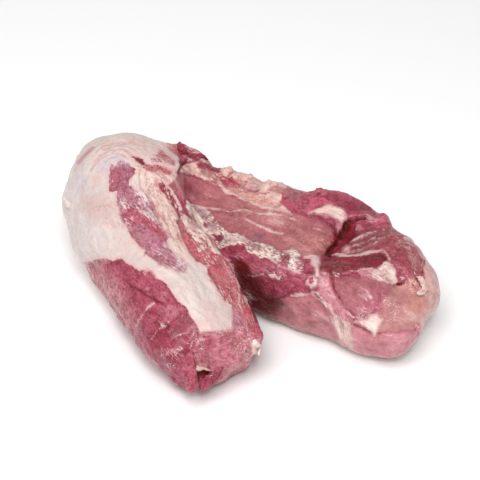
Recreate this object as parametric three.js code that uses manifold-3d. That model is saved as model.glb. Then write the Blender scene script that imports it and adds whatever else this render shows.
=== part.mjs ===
// A raw boneless pork loin, folded once on itself and lying on a flat surface.
// The rump limb lies underneath with its bone side up. The loin then turns up and over at
// the fold, and the shoulder limb comes back over it with the fat side up.
// Millimetres, +Z up, +X along the longest side, the front towards -Y.

import * as THREE from "three";
import { mergeVertices } from "three/addons/utils/BufferGeometryUtils.js";
import Module from "manifold-3d";

// Edge of the grid cells that the surface is found in, about the size of its faces
const CELL = 6.1;
const RELAX_PASSES = 2;

// A vertex this close to the floor is moved onto it
const NEAR_FLOOR = 0.9;

// Brings the middle of the loin's base, laid out as below, over the origin
const TO_ORIGIN = new THREE.Vector3(2, 3.2, 0);

// Rump limb, bone side up: [x, y, z, half width, half height] from the fold to the end
const RUMP_STATIONS = [
  [-101, 77, 30.5, 56, 33.5],
  [-54, 63, 31.5, 61, 34.5],
  [-14, 44, 32.5, 65, 35.5],
  [36, 16, 33.5, 67, 36.5],
  [76, -10, 35, 64, 38],
  [112, -40, 36, 53, 39],
];
const RUMP_END_LENGTH = 54;
const RUMP_SQUARENESS = 3.2;

// Shoulder limb, fat side up, from the fold to the cut end at the front
const SHOULDER_STATIONS = [
  [-114, 70, 55, 50, 57],
  [-112, 34, 50.5, 54, 52.5],
  [-90, -9, 44, 52, 46],
  [-62, -59, 37.5, 52, 40.5],
  [-43, -90, 31.5, 52, 34.5],
  [-36, -106, 28.5, 48, 31.5],
];
const SHOULDER_END_LENGTH = 32;
const SHOULDER_SQUARENESS = 2.4;

// The knife cut across the shoulder limb's end: a point on it and the way it faces
const CUT_AT = new THREE.Vector3(-22, -120, 48);
const CUT_FACING = new THREE.Vector3(0.32, -0.7, 0.62).normalize();

// Where the limbs and the fold run into each other, over this depth
const FOLD_BLEND = 16;
const LIMB_BLEND = 8;

// Balls are [x, y, z, radius], and a chain of them is a roll that tapers from ball to ball.
// The fold is a roll from its tall front left end to its low back right end.
const FOLD = [
  [-112, 71, 57, 57],
  [-66, 90, 48, 36],
];

// Muscles and rims that stand up from the limbs, joined over this depth
const RAISED_BLEND = 12;
const RAISED = {
  foldFlap: [
    [-72, 107, 74, 11],
    [-58, 102, 76, 11],
    [-44, 90, 69, 10],
  ],
  farRim: [
    [-40, 84, 63, 11],
    [-22, 87, 57, 11],
    [-6, 84, 56, 11],
    [12, 72, 58, 11],
    [28, 58, 61, 10],
  ],
  uprightFlap: [
    [68, 58, 61, 11],
    [86, 48, 62, 12],
    [103, 34, 62, 12],
    [117, 16, 60, 11],
  ],
  nearRim: [
    [-38, -8, 63, 8],
    [-14, -19, 58, 8],
    [8, -29, 59, 8],
    [38, -42, 62, 9],
  ],
  longMuscle: [
    [72, -45, 64, 11],
    [108, -45, 65, 10],
  ],
  roundMuscle: [[95, -66, 45, 25]],
  sideMuscle: [
    [122, -6, 49, 22],
    [140, -44, 42, 25],
  ],
  frontMuscle: [
    [20, -22, 21, 20],
    [66, -46, 22, 21],
  ],
  tipMuscle: [
    [95, -71, 25, 23],
    [121, -79, 28, 27],
  ],
  endLip: [
    [-16, -104, 40, 16],
    [-10, -98, 34, 16],
  ],
  foldLobe: [
    [-76, 59, 94, 10],
    [-78, 45, 91, 10],
    [-72, 35, 82, 9],
    [-59, 20, 69, 8],
  ],
  fatTongue: [
    [-97, -13, 77, 16],
    [-74, -52, 68, 16],
    [-52, -79, 59, 15],
    [-34, -106, 48, 13],
  ],
  shoulderLip: [
    [-43, -14, 71, 8],
    [-25, -38, 62, 8],
    [-11, -80, 52, 8],
    [0, -99, 41, 8],
  ],
};

// Cuts and hollows, joined over this depth: the saddle is in the rump limb alone
const SUNK_BLEND = 8;
const SADDLE = [
  [-25, 42, 188, 122],
  [50, 2, 191, 122],
];
const SUNK = {
  gash: [
    [90, 16, 71, 7],
    [79, -9, 67, 10],
    [68, -31, 69, 8],
  ],
  crevice: [
    [-58, 52, 72, 6],
    [-47, 32, 66, 6],
    [-35, 6, 65, 6],
    [-24, -18, 64, 5],
    [-16, -34, 58, 5],
  ],
  seam: [
    [71, -52, 75, 4],
    [73, -68, 69, 5],
    [80, -82, 63, 5],
    [92, -93, 55, 4],
  ],
  pit: [[128, -68, 70, 7]],
  endNotch: [
    [-42, -144, 22, 6],
    [-26, -144, 26, 6],
  ],
};

// Signed distances: negative inside, positive outside
function smoothMin(a, b, blend) {
  const overlap = Math.max(blend - Math.abs(a - b), 0) / blend;
  return Math.min(a, b) - (overlap * overlap * blend) / 4;
}

function smoothMax(a, b, blend) {
  return -smoothMin(-a, -b, blend);
}

// A limb of oval sections along a smooth curve through its stations, with an oval end
function limb(stations, endLength, squareness) {
  const ringCount = 48;
  const nearAxis = 1;
  const up = new THREE.Vector3(0, 0, 1);
  const points = stations.map(([x, y, z]) => new THREE.Vector3(x, y, z));
  const halfSizes = stations.map(([, , , width, height]) => new THREE.Vector3(width, height, 0));
  const path = new THREE.CatmullRomCurve3(points, false, "centripetal");
  const sizes = new THREE.CatmullRomCurve3(halfSizes, false, "centripetal");
  const spacing = path.getLength() / ringCount;
  const rings = Array.from({ length: ringCount + 1 }, (_, i) => {
    const t = i / ringCount;
    const along = path.getTangent(t);
    const side = new THREE.Vector3().crossVectors(along, up).normalize();
    const lift = new THREE.Vector3().crossVectors(side, along).normalize();
    return { at: path.getPoint(t), size: sizes.getPoint(t), along, side, lift };
  });
  const at = new THREE.Vector3();
  const side = new THREE.Vector3();
  const lift = new THREE.Vector3();
  const size = new THREE.Vector3();
  const offset = new THREE.Vector3();
  return (p) => {
    let nearest = 0;
    rings.forEach((ring, i) => {
      if (ring.at.distanceToSquared(p) < rings[nearest].at.distanceToSquared(p)) nearest = i;
    });
    const ring = rings[nearest];
    const ahead = offset.subVectors(p, ring.at).dot(ring.along);
    const next = rings[nearest + Math.sign(ahead)] ?? ring;
    const share = Math.min(Math.abs(ahead) / spacing, 1) / 2;
    at.lerpVectors(ring.at, next.at, share);
    side.lerpVectors(ring.side, next.side, share).normalize();
    lift.lerpVectors(ring.lift, next.lift, share).normalize();
    size.lerpVectors(ring.size, next.size, share);
    offset.subVectors(p, at);
    const across = offset.dot(side);
    const above = offset.dot(lift);
    const beyond = next === ring ? ahead : 0;
    const section =
      (Math.abs(across / size.x) ** squareness + Math.abs(above / size.y) ** squareness) ** (1 / squareness);
    const scale = Math.hypot(section, beyond / endLength);
    const reach = Math.hypot(across, above, beyond);
    return reach < nearAxis ? -size.y : reach * (1 - 1 / scale);
  };
}

// A roll that tapers from each ball of a chain to the next
function roll(balls) {
  const centres = balls.map(([x, y, z]) => new THREE.Vector3(x, y, z));
  const radii = balls.map(([, , , radius]) => radius);
  const axis = new THREE.Vector3();
  const offset = new THREE.Vector3();
  return (p) => {
    let distance = centres[0].distanceTo(p) - radii[0];
    for (let i = 1; i < balls.length; i++) {
      axis.subVectors(centres[i], centres[i - 1]);
      const along = offset.subVectors(p, centres[i - 1]).dot(axis) / axis.lengthSq();
      const t = THREE.MathUtils.clamp(along, 0, 1);
      const radius = THREE.MathUtils.lerp(radii[i - 1], radii[i], t);
      distance = Math.min(distance, offset.addScaledVector(axis, -t).length() - radius);
    }
    return distance;
  };
}

const rumpLimb = limb(RUMP_STATIONS, RUMP_END_LENGTH, RUMP_SQUARENESS);
const shoulderLimb = limb(SHOULDER_STATIONS, SHOULDER_END_LENGTH, SHOULDER_SQUARENESS);
const fold = roll(FOLD);
const saddle = roll(SADDLE);
const raised = Object.values(RAISED).map(roll);
const sunk = Object.values(SUNK).map(roll);

function loin(p) {
  const folded = fold(p);
  const saddled = smoothMax(rumpLimb(p), -saddle(p), SUNK_BLEND);
  const lower = smoothMin(saddled, folded, FOLD_BLEND);
  const pastCut = p.clone().sub(CUT_AT).dot(CUT_FACING);
  const shoulder = smoothMax(shoulderLimb(p), pastCut, SUNK_BLEND);
  const upper = smoothMin(shoulder, folded, FOLD_BLEND);
  let distance = smoothMin(lower, upper, LIMB_BLEND);
  for (const form of raised) distance = smoothMin(distance, form(p), RAISED_BLEND);
  for (const form of sunk) distance = smoothMax(distance, -form(p), SUNK_BLEND);
  return distance;
}

// Where two sheets would meet in one grid face, its outer corner nearest the surface goes inside
function clearCrossedFaces(values, [nx, ny, nz], at) {
  const barelyInside = -0.01;
  const planes = [
    [[1, 0, 0], [0, 1, 0]],
    [[0, 1, 0], [0, 0, 1]],
    [[0, 0, 1], [1, 0, 0]],
  ];
  let changed = true;
  while (changed) {
    changed = false;
    for (let k = 0; k < nz - 1; k++)
      for (let j = 0; j < ny - 1; j++)
        for (let i = 0; i < nx - 1; i++)
          for (const [u, v] of planes) {
            const face = [
              at(i, j, k),
              at(i + u[0], j + u[1], k + u[2]),
              at(i + u[0] + v[0], j + u[1] + v[1], k + u[2] + v[2]),
              at(i + v[0], j + v[1], k + v[2]),
            ];
            const inside = face.map((corner) => values[corner] < 0);
            if (inside[0] !== inside[2] || inside[1] !== inside[3] || inside[0] === inside[1]) continue;
            const [a, b] = face.filter((corner) => values[corner] >= 0);
            values[values[a] < values[b] ? a : b] = barelyInside;
            changed = true;
          }
  }
}

// The mean point where a cell's edges cross the surface, in cells from its low corner
function crossing(corners) {
  const sum = new THREE.Vector3();
  let count = 0;
  for (let a = 0; a < 8; a++)
    for (const bit of [1, 2, 4]) {
      const b = a | bit;
      if (a === b || corners[a] < 0 === corners[b] < 0) continue;
      const t = corners[a] / (corners[a] - corners[b]);
      sum.x += (a & 1) + (bit === 1 ? t : 0);
      sum.y += ((a >> 1) & 1) + (bit === 2 ? t : 0);
      sum.z += ((a >> 2) & 1) + (bit === 4 ? t : 0);
      count++;
    }
  return count ? sum.divideScalar(count) : null;
}

// Moves a point onto the surface along the field's slope, at most half a cell
function settle(p, field, cell) {
  const step = 0.5;
  const passes = 3;
  const gentlest = 0.2;
  const slope = new THREE.Vector3();
  const start = p.clone();
  for (let pass = 0; pass < passes; pass++) {
    for (const axis of ["x", "y", "z"]) {
      const ahead = p.clone();
      const behind = p.clone();
      ahead[axis] += step;
      behind[axis] -= step;
      slope[axis] = (field(ahead) - field(behind)) / (2 * step);
    }
    p.addScaledVector(slope, -field(p) / Math.max(slope.lengthSq(), gentlest));
    p.sub(start).clampLength(0, cell / 2).add(start);
  }
  return p;
}

// Evens the surface out: each pass moves a vertex half way to the middle of its neighbours.
function relax(positions, triangles, passes) {
  const neighbours = Array.from({ length: positions.length / 3 }, () => new Set());
  for (let t = 0; t < triangles.length; t += 3)
    for (let corner = 0; corner < 3; corner++)
      neighbours[triangles[t + corner]].add(triangles[t + ((corner + 1) % 3)]);
  for (let pass = 0; pass < passes; pass++) {
    const before = positions.slice();
    neighbours.forEach((around, vertex) => {
      for (let axis = 0; axis < 3; axis++) {
        let sum = 0;
        for (const other of around) sum += before[3 * other + axis];
        const place = 3 * vertex + axis;
        positions[place] = (before[place] + sum / around.size) / 2;
      }
    });
  }
}

// The closed surface where the field is zero, with one vertex in each cell that it crosses
function surfaceOf(field, low, high, cell) {
  const counts = ["x", "y", "z"].map((axis) => Math.ceil((high[axis] - low[axis]) / cell) + 1);
  const [nx, ny, nz] = counts;
  const at = (i, j, k) => i + nx * (j + ny * k);
  const values = new Float64Array(nx * ny * nz);
  const p = new THREE.Vector3();
  for (let k = 0; k < nz; k++)
    for (let j = 0; j < ny; j++)
      for (let i = 0; i < nx; i++)
        values[at(i, j, k)] = field(p.set(i, j, k).multiplyScalar(cell).add(low));
  clearCrossedFaces(values, counts, at);

  const vertexOf = new Map();
  const positions = [];
  for (let k = 0; k < nz - 1; k++)
    for (let j = 0; j < ny - 1; j++)
      for (let i = 0; i < nx - 1; i++) {
        const corners = [0, 1, 2, 3, 4, 5, 6, 7].map(
          (c) => values[at(i + (c & 1), j + ((c >> 1) & 1), k + ((c >> 2) & 1))],
        );
        const inCell = crossing(corners);
        if (!inCell) continue;
        vertexOf.set(at(i, j, k), positions.length / 3);
        p.set(i, j, k).add(inCell).multiplyScalar(cell).add(low);
        positions.push(...settle(p, field, cell));
      }

  const triangles = [];
  const steps = [
    [1, 0, 0],
    [0, 1, 0],
    [0, 0, 1],
  ];
  for (let k = 1; k < nz - 1; k++)
    for (let j = 1; j < ny - 1; j++)
      for (let i = 1; i < nx - 1; i++)
        steps.forEach(([di, dj, dk], axis) => {
          const fromInside = values[at(i, j, k)] < 0;
          const toInside = values[at(i + di, j + dj, k + dk)] < 0;
          if (fromInside === toInside) return;
          const u = steps[(axis + 1) % 3];
          const v = steps[(axis + 2) % 3];
          const cellOf = (a, b) => at(i - a * u[0] - b * v[0], j - a * u[1] - b * v[1], k - a * u[2] - b * v[2]);
          const quad = [cellOf(0, 0), cellOf(1, 0), cellOf(1, 1), cellOf(0, 1)].map((c) => vertexOf.get(c));
          if (!fromInside) quad.reverse();
          const [a, b, c, d] = quad;
          triangles.push(a, b, c, a, c, d);
        });

  relax(positions, triangles, RELAX_PASSES);
  const geometry = new THREE.BufferGeometry();
  geometry.setAttribute("position", new THREE.Float32BufferAttribute(positions, 3));
  geometry.setIndex(triangles);
  return geometry;
}

function solidOf(geometry) {
  const bare = new THREE.BufferGeometry();
  bare.setAttribute("position", geometry.getAttribute("position"));
  bare.setIndex(geometry.index);
  const merged = mergeVertices(bare);
  const vertProperties = merged.getAttribute("position").array;
  const triVerts = new Uint32Array(merged.index.array);
  return new wasm.Manifold(new wasm.Mesh({ numProp: 3, vertProperties, triVerts }));
}

// What of a closed surface stands above the floor, so that the underside is one flat face.
// The vertices close to the floor go onto it first, which keeps slivers out of the base's edge.
function aboveFloor(geometry, low, high) {
  const positions = geometry.getAttribute("position");
  for (let i = 0; i < positions.count; i++)
    if (Math.abs(positions.getZ(i)) < NEAR_FLOOR) positions.setZ(i, 0);
  const size = new THREE.Vector3(high.x - low.x, high.y - low.y, high.z);
  const room = new THREE.BoxGeometry(size.x, size.y, size.z);
  room.translate((low.x + high.x) / 2, (low.y + high.y) / 2, size.z / 2);
  const mesh = solidOf(geometry).intersect(solidOf(room)).getMesh();
  const standing = new THREE.BufferGeometry();
  standing.setAttribute("position", new THREE.BufferAttribute(mesh.vertProperties, mesh.numProp));
  standing.setIndex(new THREE.BufferAttribute(mesh.triVerts, 1));
  standing.computeVertexNormals();
  return standing;
}

const wasm = await Module();
wasm.setup();

// The box searched for the surface, from below the floor, which cuts the underside flat
const searchLow = new THREE.Vector3(-189, -161, -14);
const searchHigh = new THREE.Vector3(189, 161, 140);

const surface = surfaceOf(loin, searchLow, searchHigh, CELL);
const meat = new THREE.MeshStandardMaterial({ color: 0xb7727c, roughness: 0.42, metalness: 0 });
const loinMesh = new THREE.Mesh(aboveFloor(surface, searchLow, searchHigh), meat);
loinMesh.name = "loin";
loinMesh.position.copy(TO_ORIGIN);

const part = new THREE.Group();
part.add(loinMesh);

export default part;
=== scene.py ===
"""The looks of a raw boneless pork loin that lies folded once on itself.

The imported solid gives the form. Its mesh is subdivided, and the tissues, muscle seams and
streaks that show on the photographed side are laid over it through the photograph's camera.
The far side, which the photograph doesn't show, is finished by rules of the same kind.
"""

from __future__ import annotations

import logging
import math
import sys
from dataclasses import dataclass, field
from enum import Enum

import bmesh
import bpy
import numpy as np
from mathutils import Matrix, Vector
from mathutils.bvhtree import BVHTree


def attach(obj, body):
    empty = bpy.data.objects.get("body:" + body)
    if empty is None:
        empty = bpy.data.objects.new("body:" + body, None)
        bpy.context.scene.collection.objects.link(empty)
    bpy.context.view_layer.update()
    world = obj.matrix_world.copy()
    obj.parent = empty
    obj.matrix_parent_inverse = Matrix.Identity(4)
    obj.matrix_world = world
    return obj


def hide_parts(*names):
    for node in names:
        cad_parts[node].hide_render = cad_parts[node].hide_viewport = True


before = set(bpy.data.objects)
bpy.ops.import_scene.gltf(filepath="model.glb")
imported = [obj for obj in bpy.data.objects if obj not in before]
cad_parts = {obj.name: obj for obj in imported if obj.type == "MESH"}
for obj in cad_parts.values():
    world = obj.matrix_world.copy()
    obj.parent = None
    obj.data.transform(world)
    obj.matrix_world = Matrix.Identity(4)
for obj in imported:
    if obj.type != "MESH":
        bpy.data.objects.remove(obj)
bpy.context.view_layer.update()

LOG = logging.getLogger("loin")

Outline = tuple[tuple[float, float], ...]
Array = np.ndarray

MM = 0.001
VEIL = 0.042
NODE = "loin"
BODY = "root"


# Small numeric helpers


def linear(red: float, green: float, blue: float) -> tuple[float, float, float, float]:
    """Turn a screen colour of 0 to 255 into a linear colour with full alpha."""
    channels = [value / 255 for value in (red, green, blue)]
    bent = [c / 12.92 if c <= 0.04045 else ((c + 0.055) / 1.055) ** 2.4 for c in channels]
    return (bent[0], bent[1], bent[2], 1.0)


def bare(red: float, green: float, blue: float) -> tuple[float, float, float, float]:
    """The linear colour of a wet surface without the white light that its wetness reflects."""
    seen = linear(red, green, blue)
    return (*(max(channel - VEIL, 0.002) for channel in seen[:3]), 1.0)


def smooth_step(low: float, high: float, values: Array) -> Array:
    """Rise smoothly from 0 at low to 1 at high."""
    t = np.clip((values - low) / (high - low), 0, 1)
    return t * t * (3 - 2 * t)


def hashed(cells: Array, seed: int) -> Array:
    """Give each lattice cell a repeatable number from -1 to 1."""
    mixed = cells[:, 0] * 73856093 ^ cells[:, 1] * 19349663 ^ cells[:, 2] * 83492791
    mixed = (mixed ^ seed * 6542989) * 1274126177 & 0x7FFFFFFF
    mixed = (mixed ^ mixed >> 15) * 1103515245 & 0x7FFFFFFF
    return mixed / 0x3FFFFFFF - 1


def noise(places: Array, size: float, seed: int) -> Array:
    """Smooth noise from -1 to 1.

    Args:
        places: Points in millimetres, one a row.
        size: Size of the noise's lumps in millimetres.
        seed: Picks the pattern.

    Returns:
        One number for each point.
    """
    cells = places / size
    corner = np.floor(cells).astype(np.int64)
    part = cells - corner
    fade = part * part * (3 - 2 * part)
    total = np.zeros(len(places))
    for bits in range(8):
        offset = np.array([bits & 1, bits >> 1 & 1, bits >> 2])
        weight = np.where(offset == 1, fade, 1 - fade).prod(axis=1)
        total += weight * hashed(corner + offset, seed)
    return total


def rough_noise(places: Array, size: float, seed: int) -> Array:
    """Noise with two finer layers on top, from about -1 to 1."""
    layers = [noise(places, size / 2**i, seed + i) / 2**i for i in range(3)]
    return sum(layers) / 1.75


def to_segments(spots: Array, line: Outline, closed: bool) -> tuple[Array, Array]:
    """Measure how far spots lie from a line of points.

    Args:
        spots: Points of a picture, one a row.
        line: The line's points.
        closed: Whether the last point joins the first.

    Returns:
        The distance to the line, and for a closed line whether each spot is inside.
    """
    points = np.array(line, float)
    ends = np.roll(points, -1, axis=0) if closed else points[1:]
    nearest = np.full(len(spots), np.inf)
    inside = np.zeros(len(spots), bool)
    for start, end in zip(points, ends):
        side = end - start
        offset = spots - start
        share = np.clip(offset @ side / max(side @ side, 1e-9), 0, 1)
        nearest = np.minimum(nearest, np.linalg.norm(offset - share[:, None] * side, axis=1))
        if closed and start[1] != end[1]:
            crosses = (start[1] > spots[:, 1]) != (end[1] > spots[:, 1])
            at = start[0] + (spots[:, 1] - start[1]) / (end[1] - start[1]) * (end[0] - start[0])
            inside ^= crosses & (spots[:, 0] < at)
    return nearest, inside


@dataclass(frozen=True)
class View:
    """A camera that looks at the loin, with its lengths in millimetres."""

    elevation: float
    azimuth: float
    target: tuple[float, float, float] = (-7.0, 3.2, 62.0)
    distance: float = 1350.0
    focal: float = 1500.0
    picture: float = 480.0

    def back(self) -> Array:
        """Unit vector from the target to the camera."""
        lift, turn = math.radians(self.elevation), math.radians(self.azimuth)
        flat = math.cos(lift)
        return np.array([math.sin(turn) * flat, -math.cos(turn) * flat, math.sin(lift)])

    def place(self) -> Array:
        """Where the camera stands."""
        return np.array(self.target) + self.back() * self.distance

    def right(self) -> Array:
        """Unit vector to the picture's right."""
        across = np.cross(-self.back(), [0.0, 0.0, 1.0])
        return across / np.linalg.norm(across)

    def up(self) -> Array:
        """Unit vector to the picture's top."""
        return np.cross(self.right(), -self.back())

    def project(self, places: Array) -> Array:
        """The picture's pixels, one a row, at which places are seen."""
        offset = places - self.place()
        depth = offset @ -self.back()
        across = self.picture / 2 + self.focal * (offset @ self.right()) / depth
        down = self.picture / 2 - self.focal * (offset @ self.up()) / depth
        return np.stack([across, down], axis=1)

    def ray(self, pixel: tuple[float, float]) -> Array:
        """Unit vector from the camera through a pixel."""
        across, down = (pixel[0] - self.picture / 2), (self.picture / 2 - pixel[1])
        line = -self.back() * self.focal + self.right() * across + self.up() * down
        return line / np.linalg.norm(line)

    def pixel_size(self) -> float:
        """Millimetres that one pixel covers at the target."""
        return self.distance / self.focal


PHOTO = View(elevation=40.0, azimuth=0.0)


@dataclass(frozen=True)
class Look:
    """How a tissue looks.

    Attributes:
        tint: Linear colour.
        is_fat: Whether it is fat, which stands a little proud of the lean.
        film: How far a glossy pale film covers it, from 0 to 1.
        scraped: How coarse and flecked its surface is, from 0 to 1.
    """

    tint: tuple[float, float, float, float]
    is_fat: bool = False
    film: float = 0.0
    scraped: float = 0.0


class Tissue(Enum):
    """The tissues of the loin, each with its look; a few dark ones are painted shade for hollows and gaps."""

    LEAN = Look(bare(170, 84, 101))
    ROSE_LEAN = Look(bare(186, 98, 114))
    CUT_LEAN = Look(bare(192, 112, 126), scraped=0.3)
    DEEP_LEAN = Look(bare(156, 70, 84))
    # Painted shade: a dark lean for the gap between the limbs and the long muscle's hollow.
    DARK_LEAN = Look(bare(118, 42, 52))
    BRIGHT_LEAN = Look(bare(188, 92, 106))
    PALE_LEAN = Look(bare(200, 134, 138), film=0.25)
    SMOOTH_LEAN = Look(bare(174, 99, 105), film=0.25)
    VIOLET_LEAN = Look(bare(184, 118, 138), film=0.2)
    # Painted shade: a dark red that is laid into holes, hollows, the gash and the notch.
    BLOOD = Look(bare(122, 32, 42))
    FAT = Look(bare(217, 201, 196), is_fat=True)
    WARM_FAT = Look(bare(222, 190, 180), is_fat=True)
    ROSY_FAT = Look(bare(206, 174, 170), is_fat=True, scraped=0.2)
    SCRAPED_FAT = Look(bare(230, 202, 192), is_fat=True, scraped=0.7)
    CREAM_FAT = Look(bare(240, 220, 210), is_fat=True, scraped=0.3)
    VIOLET_FAT = Look(bare(206, 190, 200), is_fat=True)
    MEMBRANE = Look(bare(186, 120, 116), film=0.6)
    TENDON = Look(bare(214, 190, 194), is_fat=True, film=0.6)
    VEILED_LEAN = Look(bare(184, 112, 134), film=0.1, scraped=0.4)
    FLECKED_LEAN = Look(bare(194, 94, 106), scraped=0.45)
    SPECKLED_LEAN = Look(bare(194, 114, 125), scraped=0.5)
    MOTTLED_FAT = Look(bare(236, 214, 203), is_fat=True, scraped=0.7)
    BRUISE = Look(bare(150, 100, 116))
    RIM_FAT = Look(bare(225, 189, 179), is_fat=True, scraped=0.6)
    PEACH_FAT = Look(bare(222, 164, 150), is_fat=True)
    VIOLET_DEEP = Look(bare(192, 92, 112), scraped=0.45)
    BAND_FAT = Look(bare(212, 168, 164), is_fat=True, scraped=0.5)
    DUSKY_LEAN = Look(bare(136, 58, 68), scraped=0.15)
    PALE_ROSE = Look(bare(206, 134, 144), film=0.3)
    PEACH_LEAN = Look(bare(204, 138, 132))
    AMBER = Look(bare(212, 142, 122))
    CROWN_FAT = Look(bare(214, 197, 190), is_fat=True)
    SIDE_FAT = Look(bare(213, 201, 198), is_fat=True)
    STRIPE_LEAN = Look(bare(202, 118, 120))
    MOTTLE_LEAN = Look(bare(162, 114, 115), scraped=0.4)
    GREY_VIOLET = Look(bare(170, 140, 148))
    # Painted shade: a dark lean for the gash's walls and under the folds beside it.
    WALL_LEAN = Look(bare(138, 56, 68))
    # Painted shade: a very dark lean for the front face in the gap under the shoulder limb.
    GAP_LEAN = Look(bare(104, 22, 30))
    FAN_LEAN = Look(bare(148, 72, 82), scraped=0.2)
    TOP_LEAN = Look(bare(164, 82, 90), scraped=0.5)
    ROUND_LEAN = Look(bare(172, 98, 106), film=0.3)
    LOBE_FAT = Look(bare(236, 204, 194), is_fat=True, scraped=0.7)
    LOW_ROSE = Look(bare(184, 110, 117), film=0.35)
    TIP_ROSE = Look(bare(197, 121, 131), film=0.5)
    VEIL_FAT = Look(bare(228, 208, 209), is_fat=True, scraped=0.3)
    WINDOW_LEAN = Look(bare(176, 102, 118), film=0.1)
    SPECKLED_FAT = Look(bare(228, 198, 192), is_fat=True, scraped=0.9)


@dataclass(frozen=True)
class Patch:
    """An outlined area of a view and what shows in it.

    Attributes:
        outline: Its corners, in the view's pixels.
        tissue: What shows there.
        edge: Millimetres over which its colour fades in.
        strength: How far it covers what lies below, from 0 to 1.
        rise: Millimetres that its surface stands above its surroundings.
        swell: Millimetres from its edge over which it bulges up to its rise, 0 for a step.
        fray: Millimetres by which its edge is ragged.
        crag: Millimetres by which lumps stand out of it.
        mingle: Millimetres by which streaks of fat and lean run into each other in it.
        balance: How far its own tissue wins over the other where they mingle, 0 for evenly.
    """

    outline: Outline
    tissue: Tissue
    edge: float = 2.0
    strength: float = 1.0
    rise: float = 0.0
    swell: float = 0.0
    fray: float = 0.0
    crag: float = 0.0
    mingle: float = 0.0
    balance: float = 1.0


class Line(Enum):
    """What a stroke over the surface is."""

    STREAK = "streak"
    GROOVE = "groove"
    CRACK = "crack"
    CREASE = "crease"
    RIDGE = "ridge"


@dataclass(frozen=True)
class Stroke:
    """A line over a view.

    Attributes:
        line: Its points, in the view's pixels.
        kind: What it is.
        width: Millimetres across it.
        depth: Millimetres that it lies below the surface, or stands above it for a ridge.
    """

    line: Outline
    kind: Line
    width: float = 1.6
    depth: float = 0.0


# The dense mesh that everything is laid on


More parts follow.
